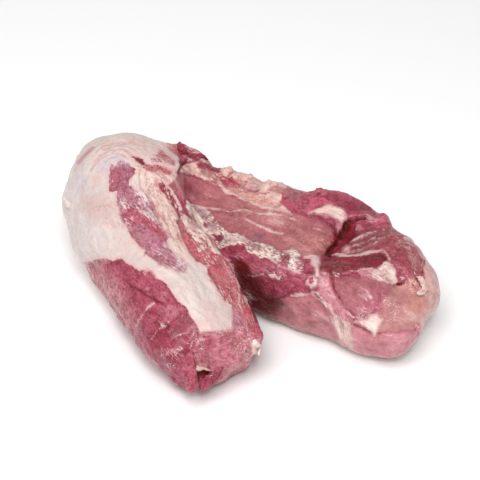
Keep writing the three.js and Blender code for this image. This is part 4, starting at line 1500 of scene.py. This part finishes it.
@dataclass
class Fibres:
    """The muscles' fibre directions, and streaks that run along them.

    Attributes:
        guides: Lines along the fibres, in the photograph's pixels.
        far_guides: Lines along the fibres of the far side, in millimetres.
        forward: The side to which all fibre directions point.
        fine_passes: Passes that comb the finest streaks.
        coarse_passes: Passes that comb the coarse streaks.
        coarse_size: Width of the coarse streaks in millimetres.
    """

    guides: tuple[Outline, ...] = (
        ((190, 195), (245, 215)),
        ((245, 215), (310, 240)),
        ((250, 275), (300, 305)),
        ((350, 252), (386, 234)),
        ((398, 236), (416, 270)),
        ((320, 267), (384, 259)),
        ((338, 284), (360, 300)),
        ((362, 284), (382, 298)),
        ((354, 340), (410, 336)),
        ((392, 300), (430, 308)),
        ((105, 272), (150, 335)),
        ((130, 300), (188, 372)),
        ((200, 232), (250, 315)),
        ((116, 168), (116, 190)),
        ((150, 226), (162, 244)),
        ((328, 198), (350, 214)),
        ((150, 160), (172, 168)),
        ((100, 150), (132, 148)),
        ((84, 190), (90, 240)),
        ((134, 204), (160, 236)),
        ((150, 248), (176, 264)),
        ((160, 190), (180, 240)),
        ((185, 270), (215, 320)),
        ((205, 172), (262, 196)),
        ((205, 226), (262, 252)),
        ((208, 345), (246, 340)),
        ((341, 320), (350, 344)),
        ((318, 209), (342, 216)),
        ((380, 266), (394, 280)),
    )
    far_guides: tuple[tuple[tuple[float, float, float], tuple[float, float, float]], ...] = (
        ((-20.0, 80.0, 60.0), (60.0, 75.0, 55.0)),
        ((60.0, 75.0, 50.0), (150.0, 30.0, 40.0)),
        ((-150.0, 60.0, 50.0), (-60.0, 110.0, 50.0)),
    )
    forward: tuple[float, float, float] = (0.8, -0.3, -0.5)
    fine_passes: int = 10
    coarse_passes: int = 36
    coarse_size: float = 4.5

    def lay(self, surface: Surface, view: View) -> None:
        """Comb noise along the fibres, for streaks in the colour and the relief."""
        ways = self._ways(surface, view)
        ways *= np.where(ways @ np.array(self.forward) < 0, -1, 1)[:, None]
        surface.way = ways
        pairs = surface.pairs()
        source = np.random.default_rng(5).normal(size=surface.count)
        surface.fine_fibre = self._combed(surface, pairs, ways, source, self.fine_passes)
        source = noise(surface.places, self.coarse_size, 91)
        surface.coarse_fibre = self._combed(surface, pairs, ways, source, self.coarse_passes)

    def _ways(self, surface: Surface, view: View) -> Array:
        """Unit vectors along the fibres, one for each vertex."""
        tree = surface.tree()
        lines = [self._landed(tree, view, guide) for guide in self.guides]
        lines += [np.array(guide) for guide in self.far_guides]
        total = np.zeros((surface.count, 3, 3))
        for start, end in lines:
            side = end - start
            offset = surface.places - start
            share = np.clip(offset @ side / (side @ side), 0, 1)
            away = np.linalg.norm(offset - share[:, None] * side, axis=1)
            way = side / np.linalg.norm(side)
            total += (1 / (away + 4) ** 3)[:, None, None] * np.outer(way, way)
        flat = np.eye(3) - surface.normals[:, :, None] * surface.normals[:, None, :]
        return np.linalg.eigh(flat @ total @ flat)[1][:, :, 2]

    @staticmethod
    def _combed(surface: Surface, pairs: Array, ways: Array, values: Array, passes: int) -> Array:
        """Even values out along the fibres only, and bring them to a spread of one."""
        first, second = pairs.T
        side = surface.places[second] - surface.places[first]
        side /= np.linalg.norm(side, axis=1, keepdims=True)
        weight = np.abs((side * ways[first]).sum(axis=1) * (side * ways[second]).sum(axis=1)) ** 3 + 1e-4
        whole = np.bincount(first, weight, surface.count) + np.bincount(second, weight, surface.count)
        for _ in range(passes):
            total = np.bincount(first, weight * values[second], surface.count)
            total += np.bincount(second, weight * values[first], surface.count)
            values = (values + total / whole) / 2
        return (values - values.mean()) / values.std()

    @staticmethod
    def _landed(tree: BVHTree, view: View, guide: Outline) -> Array:
        """The points of the surface that a guide's ends are seen on."""
        ends = []
        for pixel in guide:
            hit = tree.ray_cast(Vector(view.place()), Vector(view.ray(pixel)))[0]
            if hit is None:
                raise ValueError(f"the fibre guide's end {pixel} misses the surface")
            ends.append(np.array(hit))
        return np.array(ends)


@dataclass
class Loin:
    """The whole loin: its regions are painted on the dense skin, which is then shaped.

    Attributes:
        regions: The sub-assemblies, each of which names its patches and strokes.
    """

    regions: tuple = field(default_factory=lambda: (Fold(), RumpFront(), RumpTop(), RumpEnd(), ShoulderLimb()))
    far_side: FarSide = field(default_factory=FarSide)
    fibres: Fibres = field(default_factory=Fibres)
    nudges: tuple[Nudge, ...] = (
        Nudge((90, 142), (-2.5, -2.5), 20),
        Nudge((62, 206), (-3.0, 0.0), 18),
        Nudge((84, 266), (4.0, -3.0), 13),
        Nudge((131, 349), (-2.0, 1.5), 9),
        Nudge((151, 139), (0.0, 3.5), 14),
        Nudge((181, 142), (0.0, -3.5), 7),
        Nudge((211, 164), (-1.0, 3.5), 8),
        Nudge((260, 182), (-1.0, 4.0), 9),
        Nudge((384, 218), (0.5, -4.5), 6),
        Nudge((394, 229), (-1.0, 1.5), 6),
        Nudge((426, 260), (-3.0, 1.5), 14),
        Nudge((439, 304), (3.0, 0.0), 12),
        Nudge((160, 376), (4.0, -4.0), 12),
        Nudge((238, 380), (-3.0, -6.0), 12),
        Nudge((258, 362), (-4.0, -3.0), 9),
    )
    broad_relief: float = 1.4
    fine_relief: float = 0.6
    fibre_relief: float = 0.16
    bundle_relief: float = 0.28
    floor_fade: float = 5.0

    def build(self, source: bpy.types.Object) -> Surface:
        """Paint and shape the loin.

        Args:
            source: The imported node.

        Returns:
            The finished surface.
        """
        surface = Surface(source)
        self._nudge(surface, PHOTO)
        painter = Painter(surface, PHOTO)
        LOG.info("skin of %d vertices, %d of them in view", surface.count, painter.seen.sum())
        self._paint(painter)
        self.far_side.finish(surface, painter.seen)
        LOG.info("far side finished")
        self.fibres.lay(surface, PHOTO)
        self._shape(surface)
        self._tear(surface, PHOTO)
        self._write(surface)
        return surface

    def _nudge(self, surface: Surface, view: View) -> None:
        """Fit the form's outline to what the view shows."""
        pixels = view.project(surface.places)
        for nudge in self.nudges:
            away = np.linalg.norm(pixels - nudge.spot, axis=1) / nudge.reach
            share = np.exp(-(away**2)) * smooth_step(0, 12, surface.places[:, 2])
            across, down = nudge.shift
            way = (view.right() * across - view.up() * down) * view.pixel_size()
            surface.places += share[:, None] * way
        surface.store_places()

    def _paint(self, painter: Painter) -> None:
        """Lay every region's patches, then the tints, then the strokes."""
        for region in self.regions:
            for patch in region.patches():
                painter.patch(patch)
        for region in self.regions:
            for patch in region.tints():
                painter.tint(patch)
            for stroke in region.strokes():
                painter.stroke(stroke)
            for outline in region.glints:
                painter.glisten(outline)
            LOG.info("painted %s", type(region).__name__)

    def _tear(self, surface: Surface, view: View) -> None:
        """Add every region's torn tags."""
        tree = surface.tree()
        flakes = [flake for region in self.regions for flake in region.flakes]
        surface.grow([(*flake.form(tree, view), flake.tissue.value) for flake in flakes])
        LOG.info("%d torn tags", len(flakes))

    def _shape(self, surface: Surface) -> None:
        """Add unevenness and the painted height to the skin's form."""
        places = surface.places
        lean = 1 - smooth_step(-1, 1, surface.fat)
        height = surface.spread(surface.height, 1)
        height += self.fine_relief * rough_noise(places, 8.0, 83) * (0.7 + 0.5 * lean) * (1 - surface.film)
        height += self.bundle_relief * surface.coarse_fibre + self.fibre_relief * surface.fine_fibre
        # The material paints hollows darker and pinker by this number, as painted shade.
        surface.cavity = surface.spread(height, 8) - surface.spread(height, 1)
        height += self.broad_relief * noise(places, 26.0, 81)
        height *= smooth_step(0.2, self.floor_fade, places[:, 2])
        surface.places = places + surface.normals * height[:, None]
        surface.places[:, 2] = np.maximum(surface.places[:, 2], 0)
        surface.store_places()

    @staticmethod
    def _write(surface: Surface) -> None:
        """Write the painted numbers to the mesh as attributes."""
        mesh = surface.object.data
        for name in surface.NUMBERS:
            layer = mesh.attributes.new(name, "FLOAT", "POINT")
            layer.data.foreach_set("value", getattr(surface, name).astype(np.float32))
        for name in surface.TINTS:
            layer = mesh.attributes.new(name, "FLOAT_COLOR", "POINT")
            full = np.concatenate([getattr(surface, name), np.ones((surface.count, 1))], axis=1)
            layer.data.foreach_set("color", full.astype(np.float32).ravel())
        layer = mesh.attributes.new("way", "FLOAT_VECTOR", "POINT")
        layer.data.foreach_set("vector", surface.way.astype(np.float32).ravel())
        mesh.shade_smooth()


# Materials


class Graph:
    """A node tree with short ways to add and join its nodes."""

    def __init__(self, tree: bpy.types.NodeTree) -> None:
        """Start from an empty tree.

        Args:
            tree: The tree, whose nodes are removed.
        """
        self.tree = tree
        tree.nodes.clear()

    @classmethod
    def group(cls, name: str, inputs: dict[str, str], outputs: dict[str, str]) -> Graph:
        """Make a node group.

        Args:
            name: The group's name.
            inputs: Kind of socket for each input's name.
            outputs: Kind of socket for each output's name.

        Returns:
            The group's graph, with its input and output nodes.
        """
        tree = bpy.data.node_groups.new(name, "ShaderNodeTree")
        graph = cls(tree)
        for label, kind in inputs.items():
            tree.interface.new_socket(name=label, in_out="INPUT", socket_type=kind)
        for label, kind in outputs.items():
            tree.interface.new_socket(name=label, in_out="OUTPUT", socket_type=kind)
        graph.start = graph.add("NodeGroupInput")
        graph.end = graph.add("NodeGroupOutput")
        return graph

    def add(self, kind: str, **settings: object) -> bpy.types.Node:
        """Add a node with its settings."""
        node = self.tree.nodes.new(kind)
        for name, value in settings.items():
            setattr(node, name, value)
        return node

    def feed(self, socket: bpy.types.NodeSocket, value: object) -> None:
        """Join a socket to another, or set its value."""
        if isinstance(value, bpy.types.NodeSocket):
            self.tree.links.new(value, socket)
        else:
            socket.default_value = value

    def math(self, operation: str, *values: object, clamp: bool = False) -> bpy.types.NodeSocket:
        """Work out a number from one, two or three."""
        node = self.add("ShaderNodeMath", operation=operation, use_clamp=clamp)
        for socket, value in zip(node.inputs, values):
            self.feed(socket, value)
        return node.outputs[0]

    def sum(self, first: object, *others: object) -> bpy.types.NodeSocket:
        """Add numbers up."""
        total = first
        for other in others:
            total = self.math("ADD", total, other)
        return total

    def moved(self, vector: object, way: object, far: float) -> bpy.types.NodeSocket:
        """Move a place some way along a direction."""
        node = self.add("ShaderNodeVectorMath", operation="MULTIPLY_ADD")
        self.feed(node.inputs[0], way)
        node.inputs[1].default_value = (far, far, far)
        self.feed(node.inputs[2], vector)
        return node.outputs[0]

    def scaled(self, vector: object, scale: object) -> bpy.types.NodeSocket:
        """Scale a vector by one number."""
        node = self.add("ShaderNodeVectorMath", operation="SCALE")
        self.feed(node.inputs[0], vector)
        self.feed(node.inputs["Scale"], scale)
        return node.outputs[0]

    def noise(self, vector: object, scale: float, detail: float = 2.0) -> bpy.types.NodeSocket:
        """Noise about 0.5 with lumps of one over scale millimetres."""
        node = self.add("ShaderNodeTexNoise")
        self.feed(node.inputs["Vector"], vector)
        node.inputs["Scale"].default_value = scale
        node.inputs["Detail"].default_value = detail
        return node.outputs[0]

    def step(self, value: object, low: object, high: object, top: object = 1.0) -> bpy.types.NodeSocket:
        """Rise smoothly from 0 at low to top at high."""
        node = self.add("ShaderNodeMapRange", interpolation_type="SMOOTHSTEP")
        self.feed(node.inputs["Value"], value)
        self.feed(node.inputs["From Min"], low)
        self.feed(node.inputs["From Max"], high)
        self.feed(node.inputs["To Max"], top)
        return node.outputs[0]

    def mix(self, share: object, first: object, second: object, blend: str = "MIX") -> bpy.types.NodeSocket:
        """Mix two colours."""
        node = self.add("ShaderNodeMix", data_type="RGBA", blend_type=blend)
        self.feed(node.inputs[0], share)
        self.feed(node.inputs[6], first)
        self.feed(node.inputs[7], second)
        return node.outputs[2]

    def grey(self, value: object) -> bpy.types.NodeSocket:
        """A grey colour of a value."""
        node = self.add("ShaderNodeCombineColor")
        for socket in node.inputs:
            self.feed(socket, value)
        return node.outputs[0]

    def attribute(self, name: str, output: str = "Fac") -> bpy.types.NodeSocket:
        """A painted attribute of the mesh."""
        return self.add("ShaderNodeAttribute", attribute_name=name).outputs[output]

    def use(self, group: bpy.types.NodeTree, **inputs: object) -> bpy.types.Node:
        """Add a node group's node and feed its inputs."""
        node = self.add("ShaderNodeGroup", node_tree=group)
        for name, value in inputs.items():
            self.feed(node.inputs[name], value)
        return node

    def give(self, **outputs: object) -> None:
        """Feed the group's outputs."""
        for name, value in outputs.items():
            self.feed(self.end.inputs[name], value)


FLOAT = "NodeSocketFloat"
VECTOR = "NodeSocketVector"
COLOUR = "NodeSocketColor"
COMB_STEPS = (-3.0, -2.0, -1.0, 0.0, 1.0, 2.0, 3.0)


class Effects:
    """The shader effects that the meat's material shares, each a node group that is built once."""

    def __init__(self) -> None:
        """Build the groups."""
        self.combed = self._combed()
        self.muscle = self._muscle()
        self.ragged = self._ragged()
        self.fat = self._fat()
        self.wet = self._wet()

    @staticmethod
    def _combed() -> bpy.types.NodeTree:
        """Fine noise that is drawn out along the fibres, about 0 and with a spread of one."""
        graph = Graph.group("Combed noise", {"Place": VECTOR, "Way": VECTOR, "Calm": FLOAT}, {"Value": FLOAT})
        place, way = graph.start.outputs["Place"], graph.start.outputs["Way"]
        waves = graph.add("ShaderNodeTexNoise")
        graph.feed(waves.inputs["Vector"], place)
        waves.inputs["Scale"].default_value = 0.11
        waves.inputs["Detail"].default_value = 2.0
        place = graph.moved(place, waves.outputs["Color"], 3.5)
        total = -0.5 * len(COMB_STEPS)
        for far in COMB_STEPS:
            total = graph.math("ADD", graph.noise(graph.moved(place, way, far), 0.85, 1.0), total)
        calm = graph.math("MULTIPLY_ADD", graph.start.outputs["Calm"], -1.3, 1.0)
        graph.give(Value=graph.math("MULTIPLY", graph.math("MULTIPLY", total, 3.4), calm))
        return graph.tree

    @staticmethod
    def _muscle() -> bpy.types.NodeTree:
        """Fibres, bundles and clouds of lean meat, which are redder where they are darker, and painted shade in its
        hollows.
        """
        graph = Graph.group(
            "Muscle grain",
            {"Place": VECTOR, "Fine": FLOAT, "Coarse": FLOAT, "Cavity": FLOAT, "Calm": FLOAT},
            {"Shade": COLOUR, "Relief": FLOAT, "Marbling": FLOAT},
        )
        place, fine = graph.start.outputs["Place"], graph.start.outputs["Fine"]
        coarse, cavity = graph.start.outputs["Coarse"], graph.start.outputs["Cavity"]
        rough = graph.math("MULTIPLY_ADD", graph.start.outputs["Calm"], -1.2, 1.0)
        speck = graph.math("MULTIPLY", graph.math("SUBTRACT", graph.noise(place, 0.55, 4.0), 0.5), rough)
        cloud = graph.noise(place, 0.07, 3.0)
        clump = graph.math("SUBTRACT", graph.noise(place, 0.24, 3.0), 0.5)
        shade = graph.sum(
            1.0,
            graph.math("MULTIPLY", clump, graph.math("MULTIPLY_ADD", rough, 1.1, 0.5)),
            graph.math("MULTIPLY", fine, 0.13),
            graph.math("MULTIPLY", coarse, 0.11),
            graph.math("MULTIPLY", speck, 1.9),
            graph.math("MULTIPLY_ADD", cloud, 1.2, -0.6),
            # Painted shade: darker in the hollows.
            graph.math("MULTIPLY", cavity, -0.45),
        )
        shade = graph.math("MAXIMUM", graph.math("MINIMUM", shade, 1.6), 0.35)
        bent = graph.add("ShaderNodeCombineColor")
        for socket, power in zip(bent.inputs, (0.7, 1.35, 1.2)):
            graph.feed(socket, graph.math("POWER", shade, power))
        relief = graph.sum(
            graph.math("MULTIPLY", fine, 0.10),
            graph.math("MULTIPLY", coarse, 0.10),
            graph.math("MULTIPLY", graph.math("MULTIPLY", graph.noise(place, 0.8, 3.0), 1.6), rough),
        )
        thread = graph.step(graph.math("ADD", coarse, graph.math("MULTIPLY", fine, 0.6)), 2.0, 2.7)
        graph.give(Shade=bent.outputs[0], Relief=relief, Marbling=thread)
        return graph.tree

    @staticmethod
    def _ragged() -> bpy.types.NodeTree:
        """A mask with a frayed edge, from a distance in millimetres that is positive inside."""
        graph = Graph.group(
            "Ragged mask",
            {
                "Distance": FLOAT, "Place": VECTOR, "Fray": FLOAT, "Softness": FLOAT,
                "Fine": FLOAT, "Coarse": FLOAT, "Mingle": FLOAT,
            },
            {"Mask": FLOAT},
        )
        place = graph.start.outputs["Place"]
        fray = graph.sum(
            graph.math("MULTIPLY_ADD", graph.noise(place, 0.32, 3.0), 2.4, -1.2),
            graph.math("MULTIPLY_ADD", graph.noise(place, 1.2, 1.0), 1.0, -0.5),
            graph.math("MULTIPLY", graph.start.outputs["Fine"], 0.16),
            graph.math("MULTIPLY", graph.start.outputs["Coarse"], 0.20),
        )
        fray = graph.math("MULTIPLY", fray, graph.start.outputs["Fray"])
        streaks = graph.sum(
            graph.math("MULTIPLY", graph.start.outputs["Fine"], 0.55),
            graph.math("MULTIPLY", graph.start.outputs["Coarse"], 0.5),
            graph.math("MULTIPLY_ADD", graph.noise(place, 0.26, 3.0), 5.0, -2.5),
        )
        streaks = graph.math("MULTIPLY", streaks, graph.start.outputs["Mingle"])
        distance = graph.sum(graph.start.outputs["Distance"], fray, streaks)
        soft = graph.start.outputs["Softness"]
        mask = graph.step(distance, graph.math("MULTIPLY", soft, -1.0), soft)
        graph.give(Mask=mask)
        return graph.tree

    @staticmethod
    def _fat() -> bpy.types.NodeTree:
        """Soft lobes, pink patches and torn flecks of fat, and painted shade that makes its hollows darker and pinker.
        """
        graph = Graph.group(
            "Fat mottle",
            {"Place": VECTOR, "Scraped": FLOAT, "Fine": FLOAT, "Coarse": FLOAT, "Cavity": FLOAT},
            {"Shade": FLOAT, "Blush": FLOAT, "Fleck": FLOAT, "Relief": FLOAT},
        )
        place, scraped = graph.start.outputs["Place"], graph.start.outputs["Scraped"]
        fine, coarse = graph.start.outputs["Fine"], graph.start.outputs["Coarse"]
        cavity = graph.start.outputs["Cavity"]
        lobes = graph.noise(place, 0.2, 4.0)
        uneven = graph.math("MULTIPLY_ADD", scraped, 0.9, 0.3)
        shade = graph.sum(
            graph.math("MULTIPLY", graph.math("MULTIPLY_ADD", lobes, 1.0, -0.5), uneven),
            graph.math("MULTIPLY", graph.math("MULTIPLY", fine, 0.04), uneven),
            graph.math("MULTIPLY", coarse, 0.018),
            # Painted shade: darker in the hollows.
            graph.math("MULTIPLY", cavity, -0.10),
            1.0,
        )
        cloud = graph.noise(place, 0.05, 3.0)
        low = graph.sum(
            graph.math("MULTIPLY_ADD", cloud, 4.0, -2.0),
            graph.math("MULTIPLY_ADD", lobes, 2.0, -1.0),
            graph.math("MULTIPLY", fine, -0.14),
            graph.math("MULTIPLY", coarse, -0.18),
            # Painted shade: pinker in the hollows.
            graph.math("MULTIPLY", cavity, 0.9),
        )
        blush_and_shade = graph.step(low, -0.1, 1.3)
        spots = graph.sum(
            graph.math("MULTIPLY_ADD", graph.noise(place, 0.36, 4.0), 5.0, -2.5),
            graph.math("MULTIPLY", fine, -0.4),
            graph.math("MULTIPLY", coarse, -0.5),
            # Flecks gather in the hollows, where the fat's red flecks are partly painted shade.
            graph.math("MULTIPLY", cavity, 1.6),
            graph.math("MULTIPLY", scraped, 0.2),
        )
        fleck = graph.math("MULTIPLY", graph.step(spots, 0.0, 1.5), scraped, clamp=True)
        pits = graph.math("MULTIPLY", spots, graph.math("MULTIPLY_ADD", scraped, -0.12, -0.03))
        strands = graph.math("MULTIPLY", fine, graph.math("MULTIPLY_ADD", scraped, 0.03, 0.04))
        relief = graph.sum(graph.math("MULTIPLY", lobes, 1.6), pits, strands)
        graph.give(Shade=shade, Blush=blush_and_shade, Fleck=fleck, Relief=relief)
        return graph.tree

    @staticmethod
    def _wet() -> bpy.types.NodeTree:
        """Where moisture lies on the surface, and its smallest glints, which are painted highlights."""
        graph = Graph.group(
            "Wet film",
            {"Place": VECTOR, "Film": FLOAT, "Sparkle": FLOAT},
            {"Weight": FLOAT, "Roughness": FLOAT, "Glint": FLOAT},
        )
        place, film = graph.start.outputs["Place"], graph.start.outputs["Film"]
        sparkle = graph.start.outputs["Sparkle"]
        pool = graph.step(graph.noise(place, 0.12, 3.0), 0.38, 0.62)
        weight = graph.sum(
            0.20,
            graph.math("MULTIPLY", pool, 0.30),
            graph.math("MULTIPLY", film, 0.35),
            graph.math("MULTIPLY", sparkle, 0.4),
        )
        weight = graph.math("MINIMUM", weight, 1.0)
        rough = graph.sum(0.50, graph.math("MULTIPLY", pool, -0.10), graph.math("MULTIPLY", film, -0.12))
        # Painted highlight: dots that the material lays into the colour.
        dots = graph.step(graph.noise(place, 0.8, 3.0), 0.51, 0.62)
        groups = graph.step(graph.noise(place, 0.14, 2.0), 0.36, 0.58)
        shown = graph.math("MULTIPLY", groups, graph.math("MULTIPLY_ADD", sparkle, 0.48, 0.03))
        glint = graph.math("MULTIPLY", dots, shown)
        graph.give(Weight=weight, Roughness=rough, Glint=glint)
        return graph.tree


@dataclass(frozen=True)
class MeatFinish:
    """Constants of the meat's material."""

    streak_tint: tuple[float, float, float, float] = bare(230, 198, 193)
    film_tint: tuple[float, float, float, float] = bare(214, 176, 178)
    thin_tint: tuple[float, float, float, float] = bare(218, 164, 160)
    # Pink of the fat's patches, also laid into its hollows as painted shade.
    blush_tint: tuple[float, float, float, float] = bare(224, 180, 172)
    # Red of the fat's flecks, also laid into creases as painted shade.
    red_fleck: tuple[float, float, float, float] = bare(190, 104, 108)
    pale_fleck: tuple[float, float, float, float] = bare(224, 180, 174)
    # Painted shade: the dark red that cracks are laid in.
    crack_tint: tuple[float, float, float, float] = bare(112, 22, 32)
    # Painted highlight: the colour of the glint dots.
    glint_tint: tuple[float, float, float, float] = linear(248, 226, 230)
    coat_roughness: float = 0.15
    scatter_weight: float = 0.15
    scatter_scale: float = 0.003
    scatter_radius: tuple[float, float, float] = (1.0, 0.35, 0.25)
    bump_strength: float = 1.0
    fat_fray: float = 1.1
    streak_fray: float = 0.7

    def material(self, effects: Effects) -> bpy.types.Material:
        """Build the material.

        Args:
            effects: The shared node groups.

        Returns:
            The material, which reads the painted attributes.
        """
        made = bpy.data.materials.new("meat")
        made.use_nodes = True
        graph = Graph(made.node_tree)
        place = graph.scaled(graph.add("ShaderNodeTexCoord").outputs["Object"], 1 / MM)
        film, scraped = graph.attribute("film"), graph.attribute("scraped")
        sparkle = graph.attribute("sparkle")
        way = graph.attribute("way", "Vector")
        fine = graph.use(effects.combed, Place=place, Way=way, Calm=film).outputs["Value"]
        fibre = {"Fine": fine, "Coarse": graph.attribute("coarse_fibre")}
        form = {**fibre, "Place": place, "Cavity": graph.attribute("cavity")}
        muscle = graph.use(effects.muscle, Calm=film, **form)
        cap = graph.use(effects.fat, Scraped=scraped, **form)
        distance, soft = graph.attribute("fat"), graph.attribute("soft")
        fray = {**fibre, "Place": place}
        mingle = graph.attribute("mingle")
        fat = graph.use(effects.ragged, Distance=distance, Fray=self.fat_fray, Softness=soft, Mingle=mingle, **fray)
        fat = fat.outputs["Mask"]
        away = graph.math("MULTIPLY", graph.attribute("streak"), -1.0)
        streak = graph.use(effects.ragged, Distance=away, Fray=self.streak_fray, Softness=0.8, Mingle=0.35, **fray)
        streak = graph.math("MULTIPLY", streak.outputs["Mask"], 0.8)

        lean_colour = graph.attribute("lean_tint", "Color")
        lean_colour = graph.mix(1.0, lean_colour, muscle.outputs["Shade"], "MULTIPLY")
        lean_colour = graph.mix(graph.math("MULTIPLY", film, 0.35), lean_colour, self.film_tint)
        marbled = graph.math("MULTIPLY", muscle.outputs["Marbling"], 0.45)
        lean_colour = graph.mix(marbled, lean_colour, self.streak_tint)
        pale = graph.math("MULTIPLY", cap.outputs["Fleck"], 0.8)
        lean_colour = graph.mix(pale, lean_colour, self.pale_fleck)

        fat_colour = graph.attribute("fat_tint", "Color")
        fat_colour = graph.mix(1.0, fat_colour, graph.grey(cap.outputs["Shade"]), "MULTIPLY")
        fat_colour = graph.mix(graph.math("MULTIPLY", cap.outputs["Blush"], 0.6), fat_colour, self.blush_tint)
        thin = graph.math("MULTIPLY", graph.step(graph.math("MULTIPLY_ADD", mingle, 3.0, distance), 5.0, 0.0), 0.5)
        fat_colour = graph.mix(thin, fat_colour, self.thin_tint)
        flecked = graph.math("MULTIPLY", cap.outputs["Fleck"], 0.75)
        fat_colour = graph.mix(flecked, fat_colour, self.red_fleck)

        colour = graph.mix(fat, lean_colour, fat_colour)
        colour = graph.mix(streak, colour, self.streak_tint)
        # Painted shade: crease lines are laid in red.
        away = graph.math("MULTIPLY", graph.attribute("crease"), -1.0)
        crease = graph.use(effects.ragged, Distance=away, Fray=0.4, Softness=0.8, Mingle=0.0, **fray).outputs["Mask"]
        colour = graph.mix(graph.math("MULTIPLY", crease, 0.45), colour, self.red_fleck)
        away = graph.math("MULTIPLY", graph.attribute("crack"), -1.0)
        crack = graph.use(effects.ragged, Distance=away, Fray=0.4, Softness=0.7, Mingle=0.0, **fray).outputs["Mask"]
        # Painted shade: crack lines are laid in dark red.
        colour = graph.mix(graph.math("MULTIPLY", crack, 0.85), colour, self.crack_tint)

        wet = graph.use(effects.wet, Place=place, Film=film, Sparkle=sparkle)
        # Painted highlight: small glint dots are laid in a pale colour.
        colour = graph.mix(wet.outputs["Glint"], colour, self.glint_tint)
        dull = graph.math("MULTIPLY_ADD", crack, -0.95, 1.0)
        deep = graph.step(graph.attribute("lean_tint"), 0.03, 0.13)
        coat = graph.math("MULTIPLY", wet.outputs["Weight"], graph.math("MULTIPLY", dull, deep))
        lean_relief = graph.math("MULTIPLY", muscle.outputs["Relief"], graph.math("SUBTRACT", 1.0, fat))
        fat_relief = graph.math("MULTIPLY", cap.outputs["Relief"], fat)
        edges = graph.math("MULTIPLY", graph.sum(fat, streak, graph.math("MULTIPLY", crease, -1.2)), 0.3)
        bump = graph.add("ShaderNodeBump")
        bump.inputs["Strength"].default_value = self.bump_strength
        bump.inputs["Distance"].default_value = MM
        graph.feed(bump.inputs["Height"], graph.sum(lean_relief, fat_relief, edges))

        shader = graph.add("ShaderNodeBsdfPrincipled")
        shader.inputs["IOR"].default_value = 1.4
        shader.inputs["Coat Roughness"].default_value = self.coat_roughness
        shader.inputs["Subsurface Weight"].default_value = self.scatter_weight
        shader.inputs["Subsurface Radius"].default_value = self.scatter_radius
        shader.inputs["Subsurface Scale"].default_value = self.scatter_scale
        graph.feed(shader.inputs["Base Color"], colour)
        graph.feed(shader.inputs["Roughness"], wet.outputs["Roughness"])
        graph.feed(shader.inputs["Coat Weight"], coat)
        graph.feed(shader.inputs["Normal"], bump.outputs["Normal"])
        output = graph.add("ShaderNodeOutputMaterial")
        graph.feed(output.inputs["Surface"], shader.outputs["BSDF"])
        return made


@dataclass
class Studio:
    """The pale floor, the soft light and the camera.

    Attributes:
        key_place: Where the big soft light stands, in metres.
        key_size: Its width and height in metres.
        key_power: Its power in watts.
        glint_place: Where the small light stands that the wet surface glints in.
        glint_size: Its width and height in metres.
        glint_power: Its power in watts.
        sky: Strength of the white surroundings.
    """

    key_place: tuple[float, float, float] = (-0.35, -0.75, 1.8)
    key_size: float = 1.3
    key_power: float = 27.5
    glint_place: tuple[float, float, float] = (0.15, -1.0, 1.45)
    glint_size: float = 0.28
    glint_power: float = 5.0
    sky: float = 0.5
    floor_half: float = 6.0
    floor_tint: tuple[float, float, float, float] = linear(250, 250, 250)
    lens: float = 112.5
    sensor: float = 36.0

    def build(self, view: View) -> bpy.types.Object:
        """Set the scene up.

        Args:
            view: Where the camera stands.

        Returns:
            The floor.
        """
        scene = bpy.context.scene
        scene.view_settings.view_transform = "Standard"
        world = bpy.data.worlds.new("surroundings")
        world.use_nodes = True
        background = world.node_tree.nodes["Background"]
        background.inputs["Color"].default_value = (1.0, 1.0, 1.0, 1.0)
        background.inputs["Strength"].default_value = self.sky
        scene.world = world
        self._camera(scene, view)
        self._light("key", scene, view, self.key_place, self.key_size, self.key_power)
        self._light("glint", scene, view, self.glint_place, self.glint_size, self.glint_power)
        return self._floor(scene)

    def _camera(self, scene: bpy.types.Scene, view: View) -> None:
        """Place the camera."""
        data = bpy.data.cameras.new("camera")
        data.lens = self.lens
        data.sensor_width = self.sensor
        camera = bpy.data.objects.new("camera", data)
        camera.location = Vector(view.place() * MM)
        camera.rotation_euler = Vector(-view.back()).to_track_quat("-Z", "Y").to_euler()
        scene.collection.objects.link(camera)
        scene.camera = camera

    @staticmethod
    def _light(
        name: str, scene: bpy.types.Scene, view: View, place: tuple[float, float, float], size: float, power: float,
    ) -> None:
        """Place a square light that points at the loin."""
        data = bpy.data.lights.new(name, "AREA")
        data.size = size
        data.energy = power
        light = bpy.data.objects.new(name, data)
        light.location = Vector(place)
        towards = Vector(view.target) * MM - light.location
        light.rotation_euler = towards.to_track_quat("-Z", "Y").to_euler()
        scene.collection.objects.link(light)

    def _floor(self, scene: bpy.types.Scene) -> bpy.types.Object:
        """Lay the floor just under the loin."""
        half = self.floor_half
        corners = [(-half, -half, 0), (half, -half, 0), (half, half, 0), (-half, half, 0)]
        mesh = bpy.data.meshes.new("floor")
        mesh.from_pydata(corners, [], [(0, 1, 2, 3)])
        floor = bpy.data.objects.new("floor", mesh)
        floor.location.z = -0.2 * MM
        finish = bpy.data.materials.new("floor")
        finish.use_nodes = True
        shader = finish.node_tree.nodes["Principled BSDF"]
        shader.inputs["Base Color"].default_value = self.floor_tint
        shader.inputs["Roughness"].default_value = 0.9
        mesh.materials.append(finish)
        scene.collection.objects.link(floor)
        return floor


def main() -> None:
    """Build the loin's looks and the studio round it."""
    logging.basicConfig(level=logging.INFO, stream=sys.stdout, format="%(relativeCreated)d %(message)s")
    surface = Loin().build(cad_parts[NODE])
    piece = surface.object
    piece.data.materials.clear()
    piece.data.materials.append(MeatFinish().material(Effects()))
    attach(piece, BODY)
    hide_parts(NODE)
    Studio().build(PHOTO)


if __name__ == "__main__":
    main()
